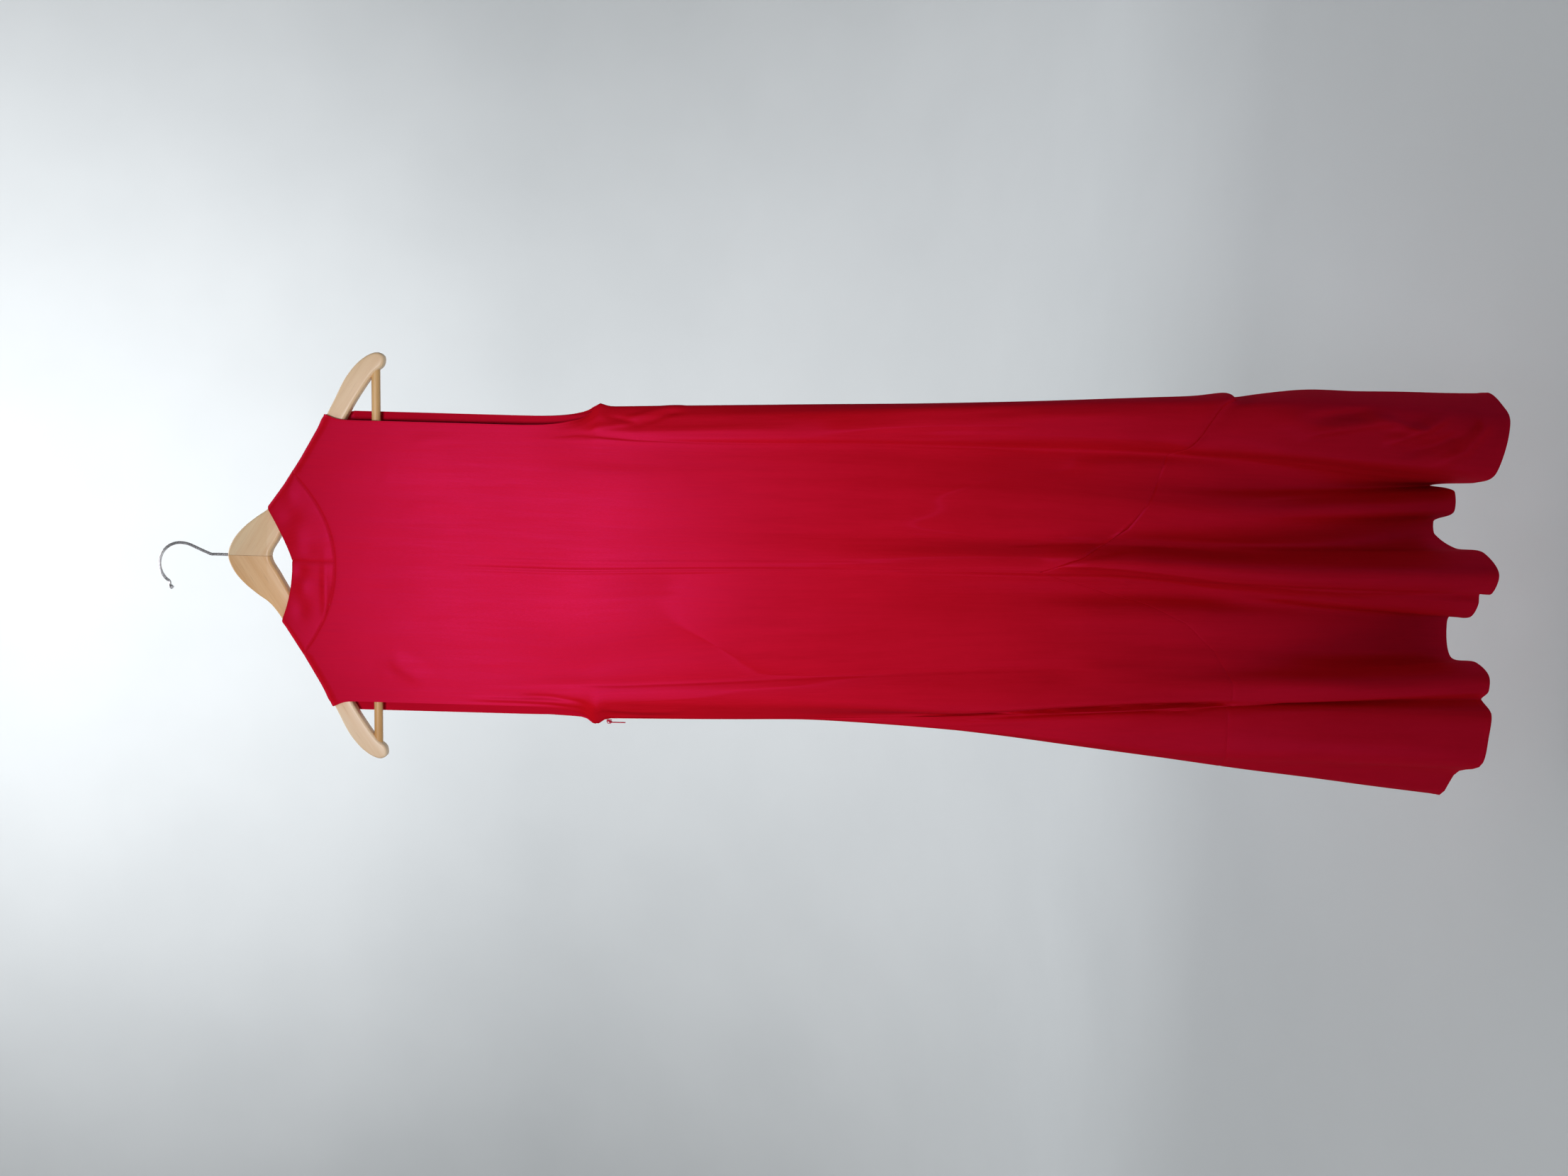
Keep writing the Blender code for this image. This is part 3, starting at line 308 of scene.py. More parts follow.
def skin(side, t, z):
    """Points of one side's outer skin. t counts the fold lines from the left side seam; z is the height.
    Below the armholes the curve runs on round the side seams into the other side's first fold line."""
    t, z = np.broadcast_arrays(np.asarray(t, float), np.asarray(z, float))
    x, y = fold_lines(side, z)
    other_x, other_y = fold_lines(-side, z)
    joined = np.clip((CHEST - z) / (CHEST - UNDERARM), 0.0, 1.0) ** ARMHOLE_CURVE
    lines = []
    for line, other in ((x, other_x), (y, other_y)):
        before, after = 2 * line[0] - line[1], 2 * line[-1] - line[-2]
        before = before + (other[1] - before) * joined
        after = after + (other[-2] - after) * joined
        lines.append(np.concatenate([before[None], line, after[None]]))
    i = np.clip(np.floor(t).astype(int), 0, len(lines[0]) - 4)
    near = [np.stack([np.take_along_axis(line, (i + k)[None], 0)[0] for line in lines]) for k in range(4)]
    gaps = [np.sqrt(np.hypot(*(b - a))) + 1e-6 for a, b in zip(near, near[1:])]
    px, py = cubic_between(near, gaps, t - i)
    py = py + side * (drape(px, z) - HANG)
    return np.stack([px, py, z], axis=-1)


def outward(point_at, a, b, small_a=1e-4, small_b=0.01):
    """Unit normals of a surface point_at(a, b), pointing to its first direction times its second."""
    b = b - 2 * small_b
    along = point_at(a + small_a, b) - point_at(a - small_a, b)
    up = point_at(a, b + small_b) - point_at(a, b - small_b)
    normal = np.cross(along, up)
    return normal / np.linalg.norm(normal, axis=-1, keepdims=True)


def fold_value(side, column, t):
    values = [getattr(fold, column) for fold in TABLES[side]]
    return np.interp(t, range(len(values)), values)


def fold_number(side, name):
    return [fold.name for fold in TABLES[side]].index(name)


def neck_points():
    return NECK_MIDDLE + NECK_HALF_WIDTH, NECK_MIDDLE - NECK_HALF_WIDTH


def neck_seam(side, x):
    """The height of the seam between the neck band and the body, up to the shoulder line."""
    shoulder = arm_top(x) + RIDGE
    right, left = neck_points()
    if side == BACK:
        away = np.abs(x - NECK_MIDDLE) / NECK_HALF_WIDTH
        end = arm_top(NECK_MIDDLE + NECK_HALF_WIDTH * np.sign(x - NECK_MIDDLE)) + RIDGE
        seam = NECK_SEAM_LOW + (end - NECK_SEAM_LOW) * away**NECK_SEAM_RISE
    else:
        neck_end = np.where(x > CENTRE_FRONT, right, left)
        away = np.abs(x - CENTRE_FRONT) / np.abs(neck_end - CENTRE_FRONT)
        end = arm_top(neck_end) + RIDGE
        seam = V_SEAM + (end - V_SEAM) * away
    return np.where(away < 1, np.minimum(seam, shoulder), shoulder)


def crease_relief(side, x, z, bold):
    """The height of one side's creases at points x, z: of the bold ones, or of all the others."""
    total = np.zeros(np.shape(x))
    for crease in CREASES[side]:
        if (abs(crease.height) > BOLD) != bold:
            continue
        path = np.array([crease.x, crease.z], float).T
        runs = np.linalg.norm(np.diff(path, axis=0), axis=1)
        starts = np.concatenate([[0.0], np.cumsum(runs)])
        nearest, offset, along = np.full(np.shape(x), 1e9), np.zeros(np.shape(x)), np.zeros(np.shape(x))
        for a, b, run, start in zip(path, path[1:], runs, starts):
            dx, dz = (b - a) / run
            f = np.clip((x - a[0]) * dx + (z - a[1]) * dz, 0.0, run)
            distance = np.hypot(x - a[0] - f * dx, z - a[1] - f * dz)
            closer = distance < nearest
            nearest = np.where(closer, distance, nearest)
            offset = np.where(closer, (z - a[1]) * dx - (x - a[0]) * dz, offset)
            along = np.where(closer, (start + f) / starts[-1], along)
        spread = crease.left + (crease.right - crease.left) * soft_step(offset, -0.7, 0.7)
        strength = soft_step(along, 0.0, crease.start) * soft_step(1 - along, 0.0, crease.end)
        power = 2.0 + abs(crease.crisp) * (1.0 - 1.85 * soft_step(offset * crease.crisp, -0.4, 0.4))
        total += crease.height * strength * np.exp(-((nearest / spread) ** power))
    return total


def unevenness(x, z):
    """Long, faint waves of cloth that hangs by its own weight."""
    waves = ((61.0, 420.0, 0.3, 0.22), (37.0, 260.0, 1.9, 0.07), (93.0, 610.0, 4.1, 0.30))
    low = soft_step(-z, 420.0, 900.0)
    return (0.4 + 0.6 * low) * sum(
        height * np.sin(2 * pi * (x / across + z / down) + start + 1.3 * np.sin(2 * pi * z / (1.7 * down)))
        for across, down, start, height in waves)


# ---- building tools -----------------------------------------------------------------------

def pick(*pieces):
    """Selects these pieces alone, the first of them active."""
    if bpy.context.object and bpy.context.object.mode != "OBJECT":
        bpy.ops.object.mode_set(mode="OBJECT")
    bpy.ops.object.select_all(action="DESELECT")
    for piece in pieces:
        piece.select_set(True)
    if pieces:
        bpy.context.view_layer.objects.active = pieces[0]


def settle(piece, name):
    """Applies the piece's place and gives its object and mesh their name."""
    pick(piece)
    bpy.ops.object.transform_apply(location=True, rotation=True, scale=True)
    piece.name = name
    piece.data.name = name
    return piece


def finish_mesh(piece, material, angle):
    """One material, and smooth shading up to the angle in degrees."""
    piece.data.materials.clear()
    piece.data.materials.append(material)
    piece.data.shade_smooth()
    piece.data.set_sharp_from_angle(angle=radians(angle))


def lay_cloth(name, points, surface, material, turned=False, thick=CLOTH):
    """A grid laid on the points, rows from bottom to top, with surface as its UV map and thickened inwards.
    Its columns run so that its face looks outward, so those of the front are turned round first."""
    if turned:
        points, surface = points[:, ::-1], surface[:, ::-1]
    rows, columns = points.shape[:2]
    pick()
    bpy.ops.mesh.primitive_grid_add(x_subdivisions=columns - 1, y_subdivisions=rows - 1, size=1.0)
    piece = bpy.context.object
    mesh = piece.data
    mesh.vertices.foreach_set("co", (points * MM).reshape(-1))
    corner = np.empty(len(mesh.loops), int)
    mesh.loops.foreach_get("vertex_index", corner)
    layer = mesh.uv_layers.active or mesh.uv_layers.new(name="cloth")
    layer.name = "cloth"
    layer.uv.foreach_set("vector", (surface.reshape(-1, 2)[corner] * MM).reshape(-1))
    mesh.update()
    wall = piece.modifiers.new("thickness", "SOLIDIFY")
    wall.thickness = thick * MM
    wall.offset = -1.0
    wall.use_even_offset = False
    pick(piece)
    bpy.ops.object.modifier_apply(modifier=wall.name)
    finish_mesh(piece, material, 50)
    return settle(piece, name)


def stations(length, step, edges=(0.0, 0.7, 1.5, 2.6, 4.2, 6.2, 8.4)):
    """Distances along a strip: close together at both ends, where seams and hems are, and step between."""
    edges = np.array(edges)
    middle = np.linspace(edges[-1], length - edges[-1], max(2, round((length - 2 * edges[-1]) / step) + 1))
    return np.concatenate([edges[:-1], middle, (length - edges[:-1])[::-1]])


def even_columns(side, first, last, step):
    """Values of t from first to last, at even steps of cloth measured across at several heights."""
    fine = np.linspace(first, last, 1500)
    widths = []
    for z in (-420.0, -600.0, -800.0, -1000.0, -1200.0, -1400.0):
        p = skin(side, fine, z)[..., :2]
        widths.append(np.concatenate([[0.0], np.cumsum(np.linalg.norm(np.diff(p, axis=0), axis=1))]))
    along = np.mean(widths, axis=0)
    distances = stations(along[-1], step)
    return np.interp(distances, along, fine), distances


def wrap_drop(length):
    """How far down a strip of cloth reaches over the wood's round, for its length from the top."""
    turn = np.minimum(length / HANG, pi / 2)
    return HANG * (1 - np.cos(turn)) + np.maximum(0.0, length - HANG * pi / 2)


# ---- the satin pieces ---------------------------------------------------------------------

def placed(side, t, z, height):
    """Points of the skin, moved out by height along its normals, and straight out by the bold folds."""
    points = skin(side, t, z)
    normal = -side * outward(lambda a, b: skin(side, a, b), t, z)
    bold = crease_relief(side, points[..., 0], z, True)
    points = points + normal * height[..., None]
    points[..., 1] += side * bold
    return points


def shoulder_tips(points, top, across):
    """Draws the ends of a body panel's top edge to the ends of the shoulder seams, over the wood. An end
    at the centre back is left alone."""
    for end, distance in ((0, across - across[0]), (-1, across[-1] - across)):
        if abs(points[0, end, 0]) < NECK_HALF_WIDTH - NECK_MIDDLE:
            continue
        tip = SHOULDER_TIP[1 if points[0, end, 0] > 0 else -1]
        share = hill(top - points[..., 2], TIP_REACH) * hill(distance[None, :], TIP_WIDTH)
        x = points[..., 0] + share * (tip - points[-1, end, 0])
        points[..., 2] += share * (arm_top(x) - arm_top(points[..., 0]))
        points[..., 0] = x
    return points


def seam_groove(distance, depth=0.7, width=1.3):
    return -depth * hill(distance, width)


def flounce_seam(side, t, distance):
    """The groove of the flounce seam, which is faint on the left, where the cloth is fuller."""
    clear = fold_number(side, "centre back" if side == BACK else "left hollow")
    depth = 0.3 + 0.9 * soft_step(t, clear - 0.5, clear + 0.3) - 0.4 * soft_step(t, clear + 4, clear + 6)
    return seam_groove(distance, depth)


def right_share(t):
    """How much there is of the right side's lip and flare: none to the crease, and all from the ridge."""
    return soft_step(t, fold_number(BACK, "right crease") + 0.3, fold_number(BACK, "right ridge"))


def right_lip(distance, t):
    """The body's rounded end, which bulges over the flounce seam on the right."""
    return right_share(t) * LIP_HEIGHT * (1 - np.exp(-distance / LIP_RISE)) * hill(distance, LIP_REACH)


def right_flare(distance, from_side, t):
    """The flounce below that lip: drawn in at the seam, and springing out again at the side."""
    tucked = -TUCK_DEPTH * (1 - np.exp(-distance / TUCK_RISE)) * hill(distance, TUCK_REACH)
    spring = sum(height * hill(distance - down, reach) for height, down, reach in SPRINGS)
    return right_share(t) * tucked + spring * hill(from_side, SPRING_WIDTH)


def turned_edge(distance, wide, height=0.45):
    """The raised strip of a turned and stitched edge, with the line of its stitching."""
    strip = 1 - soft_step(distance, wide - 0.8, wide + 1.2)
    return height * strip - 0.35 * hill(distance - wide + 1.4, 0.8)


def side_relief(side, x, z):
    """The small creases and the long waves of one side."""
    return crease_relief(side, x, z, False) + unevenness(x, z)


def body_panel(name, side, first, last, step, rows, material):
    """A panel from the shoulders to the flounce seam, between two fold lines by number."""
    t, across = even_columns(side, first, last, step)
    top = neck_seam(side, skin(side, t, CHEST)[..., 0])
    seam = fold_value(side, "seam", t)
    shares = stations(PANEL_LENGTH, PANEL_LENGTH / rows) / PANEL_LENGTH
    length = top - seam + HANG * (pi / 2 - 1)
    down = (1 - shares)[:, None] * length
    z = top - wrap_drop(down)
    t = np.broadcast_to(t, z.shape)
    height = side_relief(side, skin(side, t, z)[..., 0], z) * soft_step(top - z, 2.0, 60.0)
    height = height + flounce_seam(side, t, z - seam) + seam_groove(top - z, 0.3, 1.1)
    if side == BACK:
        height = height + right_lip(z - seam, t)
    open_side = soft_step(z, UNDERARM - 2, UNDERARM + 10)
    is_side = (first == 0, last == len(TABLES[side]) - 1)
    for distance, at_side in zip((across - across[0], across[-1] - across), is_side):
        distance = np.broadcast_to(distance, z.shape)
        if at_side:
            turning = turned_edge(distance, ARMHOLE_TURNING)
            height = height + open_side * turning + (1 - open_side) * seam_groove(distance, 0.5)
        else:
            allowance = hill(distance - ALLOWANCE, 1.1) * (1 - 0.6 * soft_step(-z, 560, 760))
            shown = soft_step(-z, 300, 400)
            height = height + shown * (seam_groove(distance, 0.35, 0.8) + 0.9 * allowance)
    points = shoulder_tips(placed(side, t, z, height), top, across)
    surface = np.stack([np.broadcast_to(across, z.shape), -down], axis=-1)
    return lay_cloth(name, points, surface, material, side == FRONT)


def flounce(name, side, step, rows, material):
    """The flounce of one side, from its seam to the hem."""
    t, across = even_columns(side, 0, len(TABLES[side]) - 1, step)
    seam, hem = fold_value(side, "seam", t), fold_value(side, "hem", t)
    shares = stations(FLOUNCE_LENGTH, FLOUNCE_LENGTH / rows) / FLOUNCE_LENGTH
    z = hem + shares[:, None] * (seam - hem)
    t = np.broadcast_to(t, z.shape)
    height = side_relief(side, skin(side, t, z)[..., 0], z)
    height = height + flounce_seam(side, t, seam - z) + turned_edge(z - hem, HEM_TURNING, 0.5)
    for distance in (across, across[-1] - across):
        height = height + seam_groove(np.broadcast_to(distance, z.shape), 0.5)
    right_t = t if side == BACK else t + len(BACK_FOLDS) - len(FRONT_FOLDS)
    height = height + right_flare(seam - z, across[-1] - across, right_t)
    surface = np.stack([np.broadcast_to(across, z.shape), z], axis=-1)
    return lay_cloth(name, placed(side, t, z, height), surface, material, side == FRONT)


def band_line(side, hand, u, v):
    """A point of the neck band: u from the centre (0) to the shoulder line (1), v from the neck edge (0)
    to the seam (1). hand is -1 for the left half and 1 for the right."""
    shoulder_edge = NECK_MIDDLE + hand * BAND_TOP_HALF_WIDTH[hand]
    shoulder_seam = NECK_MIDDLE + hand * NECK_HALF_WIDTH
    middle = CENTRE_BACK if side == BACK else CENTRE_FRONT
    middle_edge = BAND_TOP_BACK if side == BACK else V_NECK
    edge_x = middle + (shoulder_edge - middle) * u
    rise = u ** BAND_TOP_RISE[hand] if side == BACK else u
    edge_z = middle_edge + (arm_top(shoulder_edge) + RIDGE - middle_edge) * rise
    seam_x = middle + (shoulder_seam - middle) * u
    seam_z = neck_seam(side, seam_x)
    x = edge_x + (seam_x - edge_x) * v
    z = edge_z + (seam_z - edge_z) * v
    top_x = shoulder_edge + (shoulder_seam - shoulder_edge) * v
    straight = arm_top(shoulder_edge) + (arm_top(shoulder_seam) - arm_top(shoulder_edge)) * v
    return x, z + (arm_top(top_x) - straight) * u**6


def neck_band(name, hand, material):
    """Half of the band, in one strip from the centre back over the shoulder to the V of the front."""
    v = stations(BAND_WIDTH, 2.2)[:, None] / BAND_WIDTH
    runs = {BACK: 1 - (1 - np.linspace(0, 1, 46)) ** 1.5,
            FRONT: (1 - (1 - np.linspace(0, 1, 64)) ** 1.6)[-2::-1]}
    columns = []
    for side, stops in runs.items():
        def surface(a, b, side=side):
            return np.stack([a, side * drape(a, b), b], axis=-1)
        u = stops[None, :]
        x, z = band_line(side, hand, u, v)
        normal = -side * outward(surface, x, z, small_a=0.002)
        middle = CENTRE_BACK if side == BACK else CENTRE_FRONT
        height = BAND_ROLL * np.sin(pi * np.clip(v, 0, 1)) ** 0.7 + 0 * u
        height = height + seam_groove((v - 1) * BAND_WIDTH, 0.6) + seam_groove(x - middle, 1.1, 1.1)
        if side == BACK:
            height = height + band_pulls(x, z)
        columns.append(surface(x, z) + normal * (height * soft_step(1 - u, 0, 0.1))[..., None])
    points = np.concatenate(columns, axis=1)
    steps = np.linalg.norm(np.diff(points[len(v) // 2], axis=0), axis=1)
    across = np.concatenate([[0.0], np.cumsum(steps)])
    flat = np.stack(np.broadcast_arrays(across[None, :], -v * BAND_WIDTH), axis=-1)
    return lay_cloth(name, points[::-1], flat[::-1], material, hand < 0, BAND_THICK)


def band_pulls(x, z):
    total = np.zeros(np.shape(x))
    for cx, cz, wide, tall, height in BAND_PULLS:
        total = total + height * hill(x - cx, wide) * hill(z - cz, tall)
    return total


def armhole_facing(name, first, last, material):
    """The strip that lines the front's armhole, between two fold lines by number."""
    t = np.linspace(first, last, 9)
    z = np.linspace(FACING_END, FACING_TOP, 70)[:, None]
    t, z = np.broadcast_arrays(t, z)
    panel = skin(FRONT, t, z)
    normal = -FRONT * outward(lambda a, b: skin(FRONT, a, b), t, z)
    points = panel - normal * (CLOTH + 0.9)
    across = np.broadcast_to(np.linspace(0, FACING_WIDTH, 9), z.shape)
    return lay_cloth(name, points[:, ::-1], np.stack([across, z], axis=-1), material, thick=0.7)


# ---- finishes -----------------------------------------------------------------------------

class Wire:
    """A socket of a finish's nodes, with Python's operators for its sums."""

    def __init__(self, finish, socket):
        self.finish, self.socket = finish, socket

    def maths(self, operation, *values):
        return self.finish.node("ShaderNodeMath", {"operation": operation}, dict(enumerate(values)))

    def __add__(self, other):
        return self.maths("ADD", self, other)

    __radd__ = __add__

    def __mul__(self, other):
        return self.maths("MULTIPLY", self, other)

    __rmul__ = __mul__


class Finish:
    """A material and its nodes."""

    def __init__(self, name):
        self.material = bpy.data.materials.new(name)
        self.material.use_nodes = True
        self.tree = self.material.node_tree
        self.shader = self.tree.nodes["Principled BSDF"]

    def node(self, kind, settings=None, values=None, output=0):
        node = self.tree.nodes.new(kind)
        for key, value in (settings or {}).items():
            if key == "stops":
                self.set_stops(node.color_ramp, value)
            else:
                setattr(node, key, value)
        for key, value in (values or {}).items():
            if isinstance(value, Wire):
                self.tree.links.new(value.socket, node.inputs[key])
            else:
                node.inputs[key].default_value = value
        return Wire(self, node.outputs[output])

    def set_stops(self, ramp, stops):
        while len(ramp.elements) > len(stops):
            ramp.elements.remove(ramp.elements[-1])
        while len(ramp.elements) < len(stops):
            ramp.elements.new(1.0)
        for element, (place, colour) in zip(ramp.elements, stops):
            element.position = place
            element.color = (*colour, 1.0)

    def set(self, **values):
        for key, value in values.items():
            socket = self.shader.inputs[key.replace("_", " ")]
            if isinstance(value, Wire):
                self.tree.links.new(value.socket, socket)
            else:
                socket.default_value = value

    def glaze(self, share, **values):
        """A metallic layer of its own colour, mixed over the first by a fixed share."""
        base, output = self.shader, self.tree.nodes["Material Output"]
        self.shader = self.tree.nodes.new("ShaderNodeBsdfPrincipled")
        self.set(Metallic=1.0, Anisotropic=0.4, **values)
        mix = self.node("ShaderNodeMixShader", {}, {0: share, 1: Wire(self, base.outputs[0]),
                                                    2: Wire(self, self.shader.outputs[0])})
        self.tree.links.new(mix.socket, output.inputs["Surface"])

    def place(self, kind="Object", turn=0.0):
        """Object or UV coordinates, turned about Y."""
        where = self.node("ShaderNodeTexCoord", output=kind)
        return self.node("ShaderNodeMapping", {}, {"Vector": where, "Rotation": (0.0, turn, 0.0)})

    def part(self, where, axis):
        return self.node("ShaderNodeSeparateXYZ", {}, {"Vector": where}, output=axis)

    def stretch(self, where, *scale):
        return self.node("ShaderNodeMapping", {}, {"Vector": where, "Scale": scale})

    def noise(self, where, scale, detail=3.0, roughness=0.5):
        values = {"Vector": where, "Scale": scale, "Detail": detail, "Roughness": roughness}
        return self.node("ShaderNodeTexNoise", {}, values)

    def spread(self, value, low, high, to_low=0.0, to_high=1.0):
        return self.node("ShaderNodeMapRange", {}, {0: value, 1: low, 2: high, 3: to_low, 4: to_high})

    def blend(self, factor, first, second):
        """A colour between two, by factor."""
        first, second = [c if isinstance(c, Wire) else (*c, 1.0) for c in (first, second)]
        return self.node("ShaderNodeMix", {"data_type": "RGBA"}, {0: factor, 6: first, 7: second}, output=2)

    def bump(self, height, strength, distance):
        values = {"Strength": strength, "Distance": distance, "Height": height}
        return self.node("ShaderNodeBump", {}, values)


def satin_finish(name, light, deep, rough, gloss):
    """Woven satin: fine upright threads with long faint streaks, under a thin gloss of a pinker red."""
    finish = Finish(name)
    cloth = finish.place("UV")
    weave = finish.noise(finish.stretch(cloth, 2600.0, 240.0, 1.0), 1.0, 2.0, 0.6)
    slubs = finish.noise(finish.stretch(cloth, 460.0, 26.0, 1.0), 1.0, 3.0, 0.55)
    streaks = finish.noise(finish.stretch(cloth, 95.0, 5.0, 1.0), 1.0, 3.0, 0.6)
    patches = finish.noise(finish.place(), 9.0)
    tone = finish.spread(patches * 0.35 + slubs * 0.3 + streaks * 0.35, 0.36, 0.64)
    sheen = streaks * 0.4 + slubs * 0.3 + weave * 0.3
    shared = {
        "Roughness": finish.spread(sheen, 0.35, 0.65, rough - 0.065, rough + 0.065),
        "Normal": finish.bump(weave * 0.25 + slubs * 0.35 + streaks * 0.4, 0.16, 0.001),
    }
    finish.set(Base_Color=finish.blend(tone, deep, light), Specular_IOR_Level=0.0, **shared)
    finish.glaze(gloss, Base_Color=finish.blend(tone, *GLOSS_REDS), **shared)
    return finish.material


def wood_finish(name, pale, dark, turn, rough=0.42, tip=None):
    """Lacquered wood with its grain along the piece, and a painted highlight that makes it paler towards
    its tip where one is given.
    """
    finish = Finish(name)
    along = finish.place(turn=turn)
    lines = finish.stretch(along, 14.0, 420.0, 420.0)
    drift = finish.noise(finish.stretch(along, 9.0, 120.0, 120.0), 0.5, 2.0)
    fibres = finish.noise(lines, 1.0, 4.0, 0.65)
    pores = finish.spread(finish.noise(lines, 2.4, 2.0), 0.62, 0.74)
    figure = finish.spread(drift * 0.65 + fibres * 0.35, 0.36, 0.64)
    board = finish.blend(figure, pale, dark)
    # Where a tip is given, the outer part of the arm is blended towards the tip's colours, which are a
    # painted highlight.
    if tip:
        sign, tip_highlight_pale, tip_highlight_dark = tip
        far = finish.spread(finish.part(finish.place(), "X") * sign, 0.05, 0.17)
        board = finish.blend(far, board, finish.blend(figure, tip_highlight_pale, tip_highlight_dark))
    pore = (dark[0] * 0.55, dark[1] * 0.5, dark[2] * 0.45)
    finish.set(
        Base_Color=finish.blend(pores * 0.35, board, pore),
        Roughness=finish.spread(fibres, 0.3, 0.7, rough - 0.06, rough + 0.08),
        Normal=finish.bump(fibres * 0.7 + pores * 0.3, 0.12, 0.0004),
        Coat_Weight=0.25,
        Coat_Roughness=0.3,
    )
    return finish.material


def steel_finish(name):
    finish = Finish(name)
    where = finish.place()
    tone = finish.spread(finish.noise(where, 120.0), 0.35, 0.7)
    finish.set(
        Base_Color=finish.blend(tone, (0.78, 0.78, 0.79), (0.94, 0.94, 0.94)),
        Roughness=finish.spread(finish.noise(where, 900.0, 2.0), 0.3, 0.7, 0.2, 0.36),
        Metallic=0.7,
    )
    return finish.material


def paint_finish(name, first, second):
    """Matt paint with a faint mottle."""
    finish = Finish(name)
    mottle = finish.spread(finish.noise(finish.place(), 1.5), 0.3, 0.7)
    finish.set(Base_Color=finish.blend(mottle, first, second), Roughness=0.85)
    return finish.material


def lacquer_finish(name):
    """Painted zip metal, a little paler where it is worn."""
    finish = Finish(name)
    where = finish.place()
    wear = finish.spread(finish.noise(where, 700.0), 0.6, 0.72)
    finish.set(
        Base_Color=finish.blend(wear, (0.58, 0.008, 0.05), (0.66, 0.05, 0.09)),
        Roughness=finish.spread(finish.noise(where, 1500.0, 2.0), 0.3, 0.7, 0.34, 0.46),
        Specular_IOR_Level=0.25,
    )
    return finish.material


# ---- the hanger ---------------------------------------------------------------------------

def smooth_path(points, step, closed=False):
    """Points about step apart on a smooth curve through the given ones."""
    points = np.array(points, float)
    n = len(points)
    path = []
    for i in range(n if closed else n - 1):
        ends = [points[(i + k) % n] if closed else points[min(max(i + k, 0), n - 1)] for k in (-1, 0, 1, 2)]
        gaps = [max(np.linalg.norm(b - a), 1e-6) ** 0.5 for a, b in zip(ends, ends[1:])]
        count = max(1, round(np.linalg.norm(ends[2] - ends[1]) / step))
        path += [cubic_between(ends, gaps, k / count) for k in range(count)]
    return path if closed else [*path, points[-1]]


def curve_piece(points, closed, **settings):
    """A curve along points in millimetres, not yet a mesh."""
    curve = bpy.data.curves.new("curve", "CURVE")
    for key, value in settings.items():
        setattr(curve, key, value)
    spline = curve.splines.new("POLY")
    spline.points.add(len(points) - 1)
    for point, place in zip(spline.points, points):
        point.co = (*(c * MM for c in place), 1.0)
    spline.use_cyclic_u = closed
    piece = bpy.data.objects.new("curve", curve)
    bpy.context.scene.collection.objects.link(piece)
    return piece


def make_mesh(piece):
    """Turns a curve into a welded mesh whose faces point outwards."""
    pick(piece)
    bpy.ops.object.convert(target="MESH")
    bpy.ops.object.mode_set(mode="EDIT")
    bpy.ops.mesh.select_all(action="SELECT")
    bpy.ops.mesh.remove_doubles(threshold=0.00002)
    bpy.ops.mesh.normals_make_consistent(inside=False)
    bpy.ops.object.mode_set(mode="OBJECT")
    return piece


def hanger_arm(name, side, material):
    """One half of the wood, up to the mitre between the arms. side is -1 or 1."""
    half = ARM_TOP + ARM_BOTTOM
    outline = [(CENTRE + d, z, 0) for d, z in half] + [(CENTRE - d, z, 0) for d, z in reversed(half[1:-1])]
    piece = curve_piece(smooth_path(outline, 4.0, True), True, dimensions="2D", fill_mode="BOTH",
                        extrude=(ARM_THICK / 2 - ARM_ROUNDING) * MM, bevel_depth=ARM_ROUNDING * MM,
                        bevel_resolution=6, offset=-ARM_ROUNDING * MM)
    piece.rotation_euler.x = radians(90)
    make_mesh(piece)
    settle(piece, name)
    bpy.ops.object.mode_set(mode="EDIT")
    bpy.ops.mesh.select_all(action="SELECT")
    bpy.ops.mesh.bisect(plane_co=((CENTRE + side * MITRE_GAP / 2) * MM, 0, 0), plane_no=(side, 0, 0),
                        use_fill=True, clear_inner=True)
    bpy.ops.object.mode_set(mode="OBJECT")
    finish_mesh(piece, material, 40)
    return piece


def hook_wire(name, material):
    """The bent wire, from the wood up and round to a rounded knob at its end."""
    middle = Vector((0.0, WIRE_RADIUS - HOOK_RADIUS))
    points = [(CENTRE, 0, ARM_TOP[0][1] - HOOK_SHANK), (CENTRE, 0, -60.0), (CENTRE, 0, -56.5),
              (13.2, 0, -53.5), (17.0, 0, -44.5), (20.6, 0, -36.5), (22.9, 0, -30.5)]
    for k in range(17):
        turn = radians(-8 + 9.6 * k)
        points.append((middle.x + HOOK_RADIUS * cos(turn), 0, middle.y + HOOK_RADIUS * sin(turn)))
    points += [(-24.4, 0, -9.6), (-27.2, 0, -12.4)]
    piece = curve_piece(smooth_path(points, 1.0), False, dimensions="3D", bevel_depth=WIRE_RADIUS * MM,
                        bevel_resolution=6, use_fill_caps=True)
    for back, swell in enumerate((1.15, 1.32, 1.36, 1.3, 1.15)):
        piece.data.splines[0].points[-1 - back].radius = swell
    make_mesh(piece)
    finish_mesh(piece, material, 50)
    return settle(piece, name)


def trouser_bar(name, material):
    pick()
    bpy.ops.mesh.primitive_cylinder_add(vertices=48, radius=BAR_RADIUS * MM, depth=2 * BAR_HALF_LENGTH * MM,
                                        location=(CENTRE * MM, 0, BAR_LEVEL * MM), rotation=(0, pi / 2, 0))
    finish_mesh(bpy.context.object, material, 50)
    return settle(bpy.context.object, name)


# ---- the zip's slider and pull tab --------------------------------------------------------

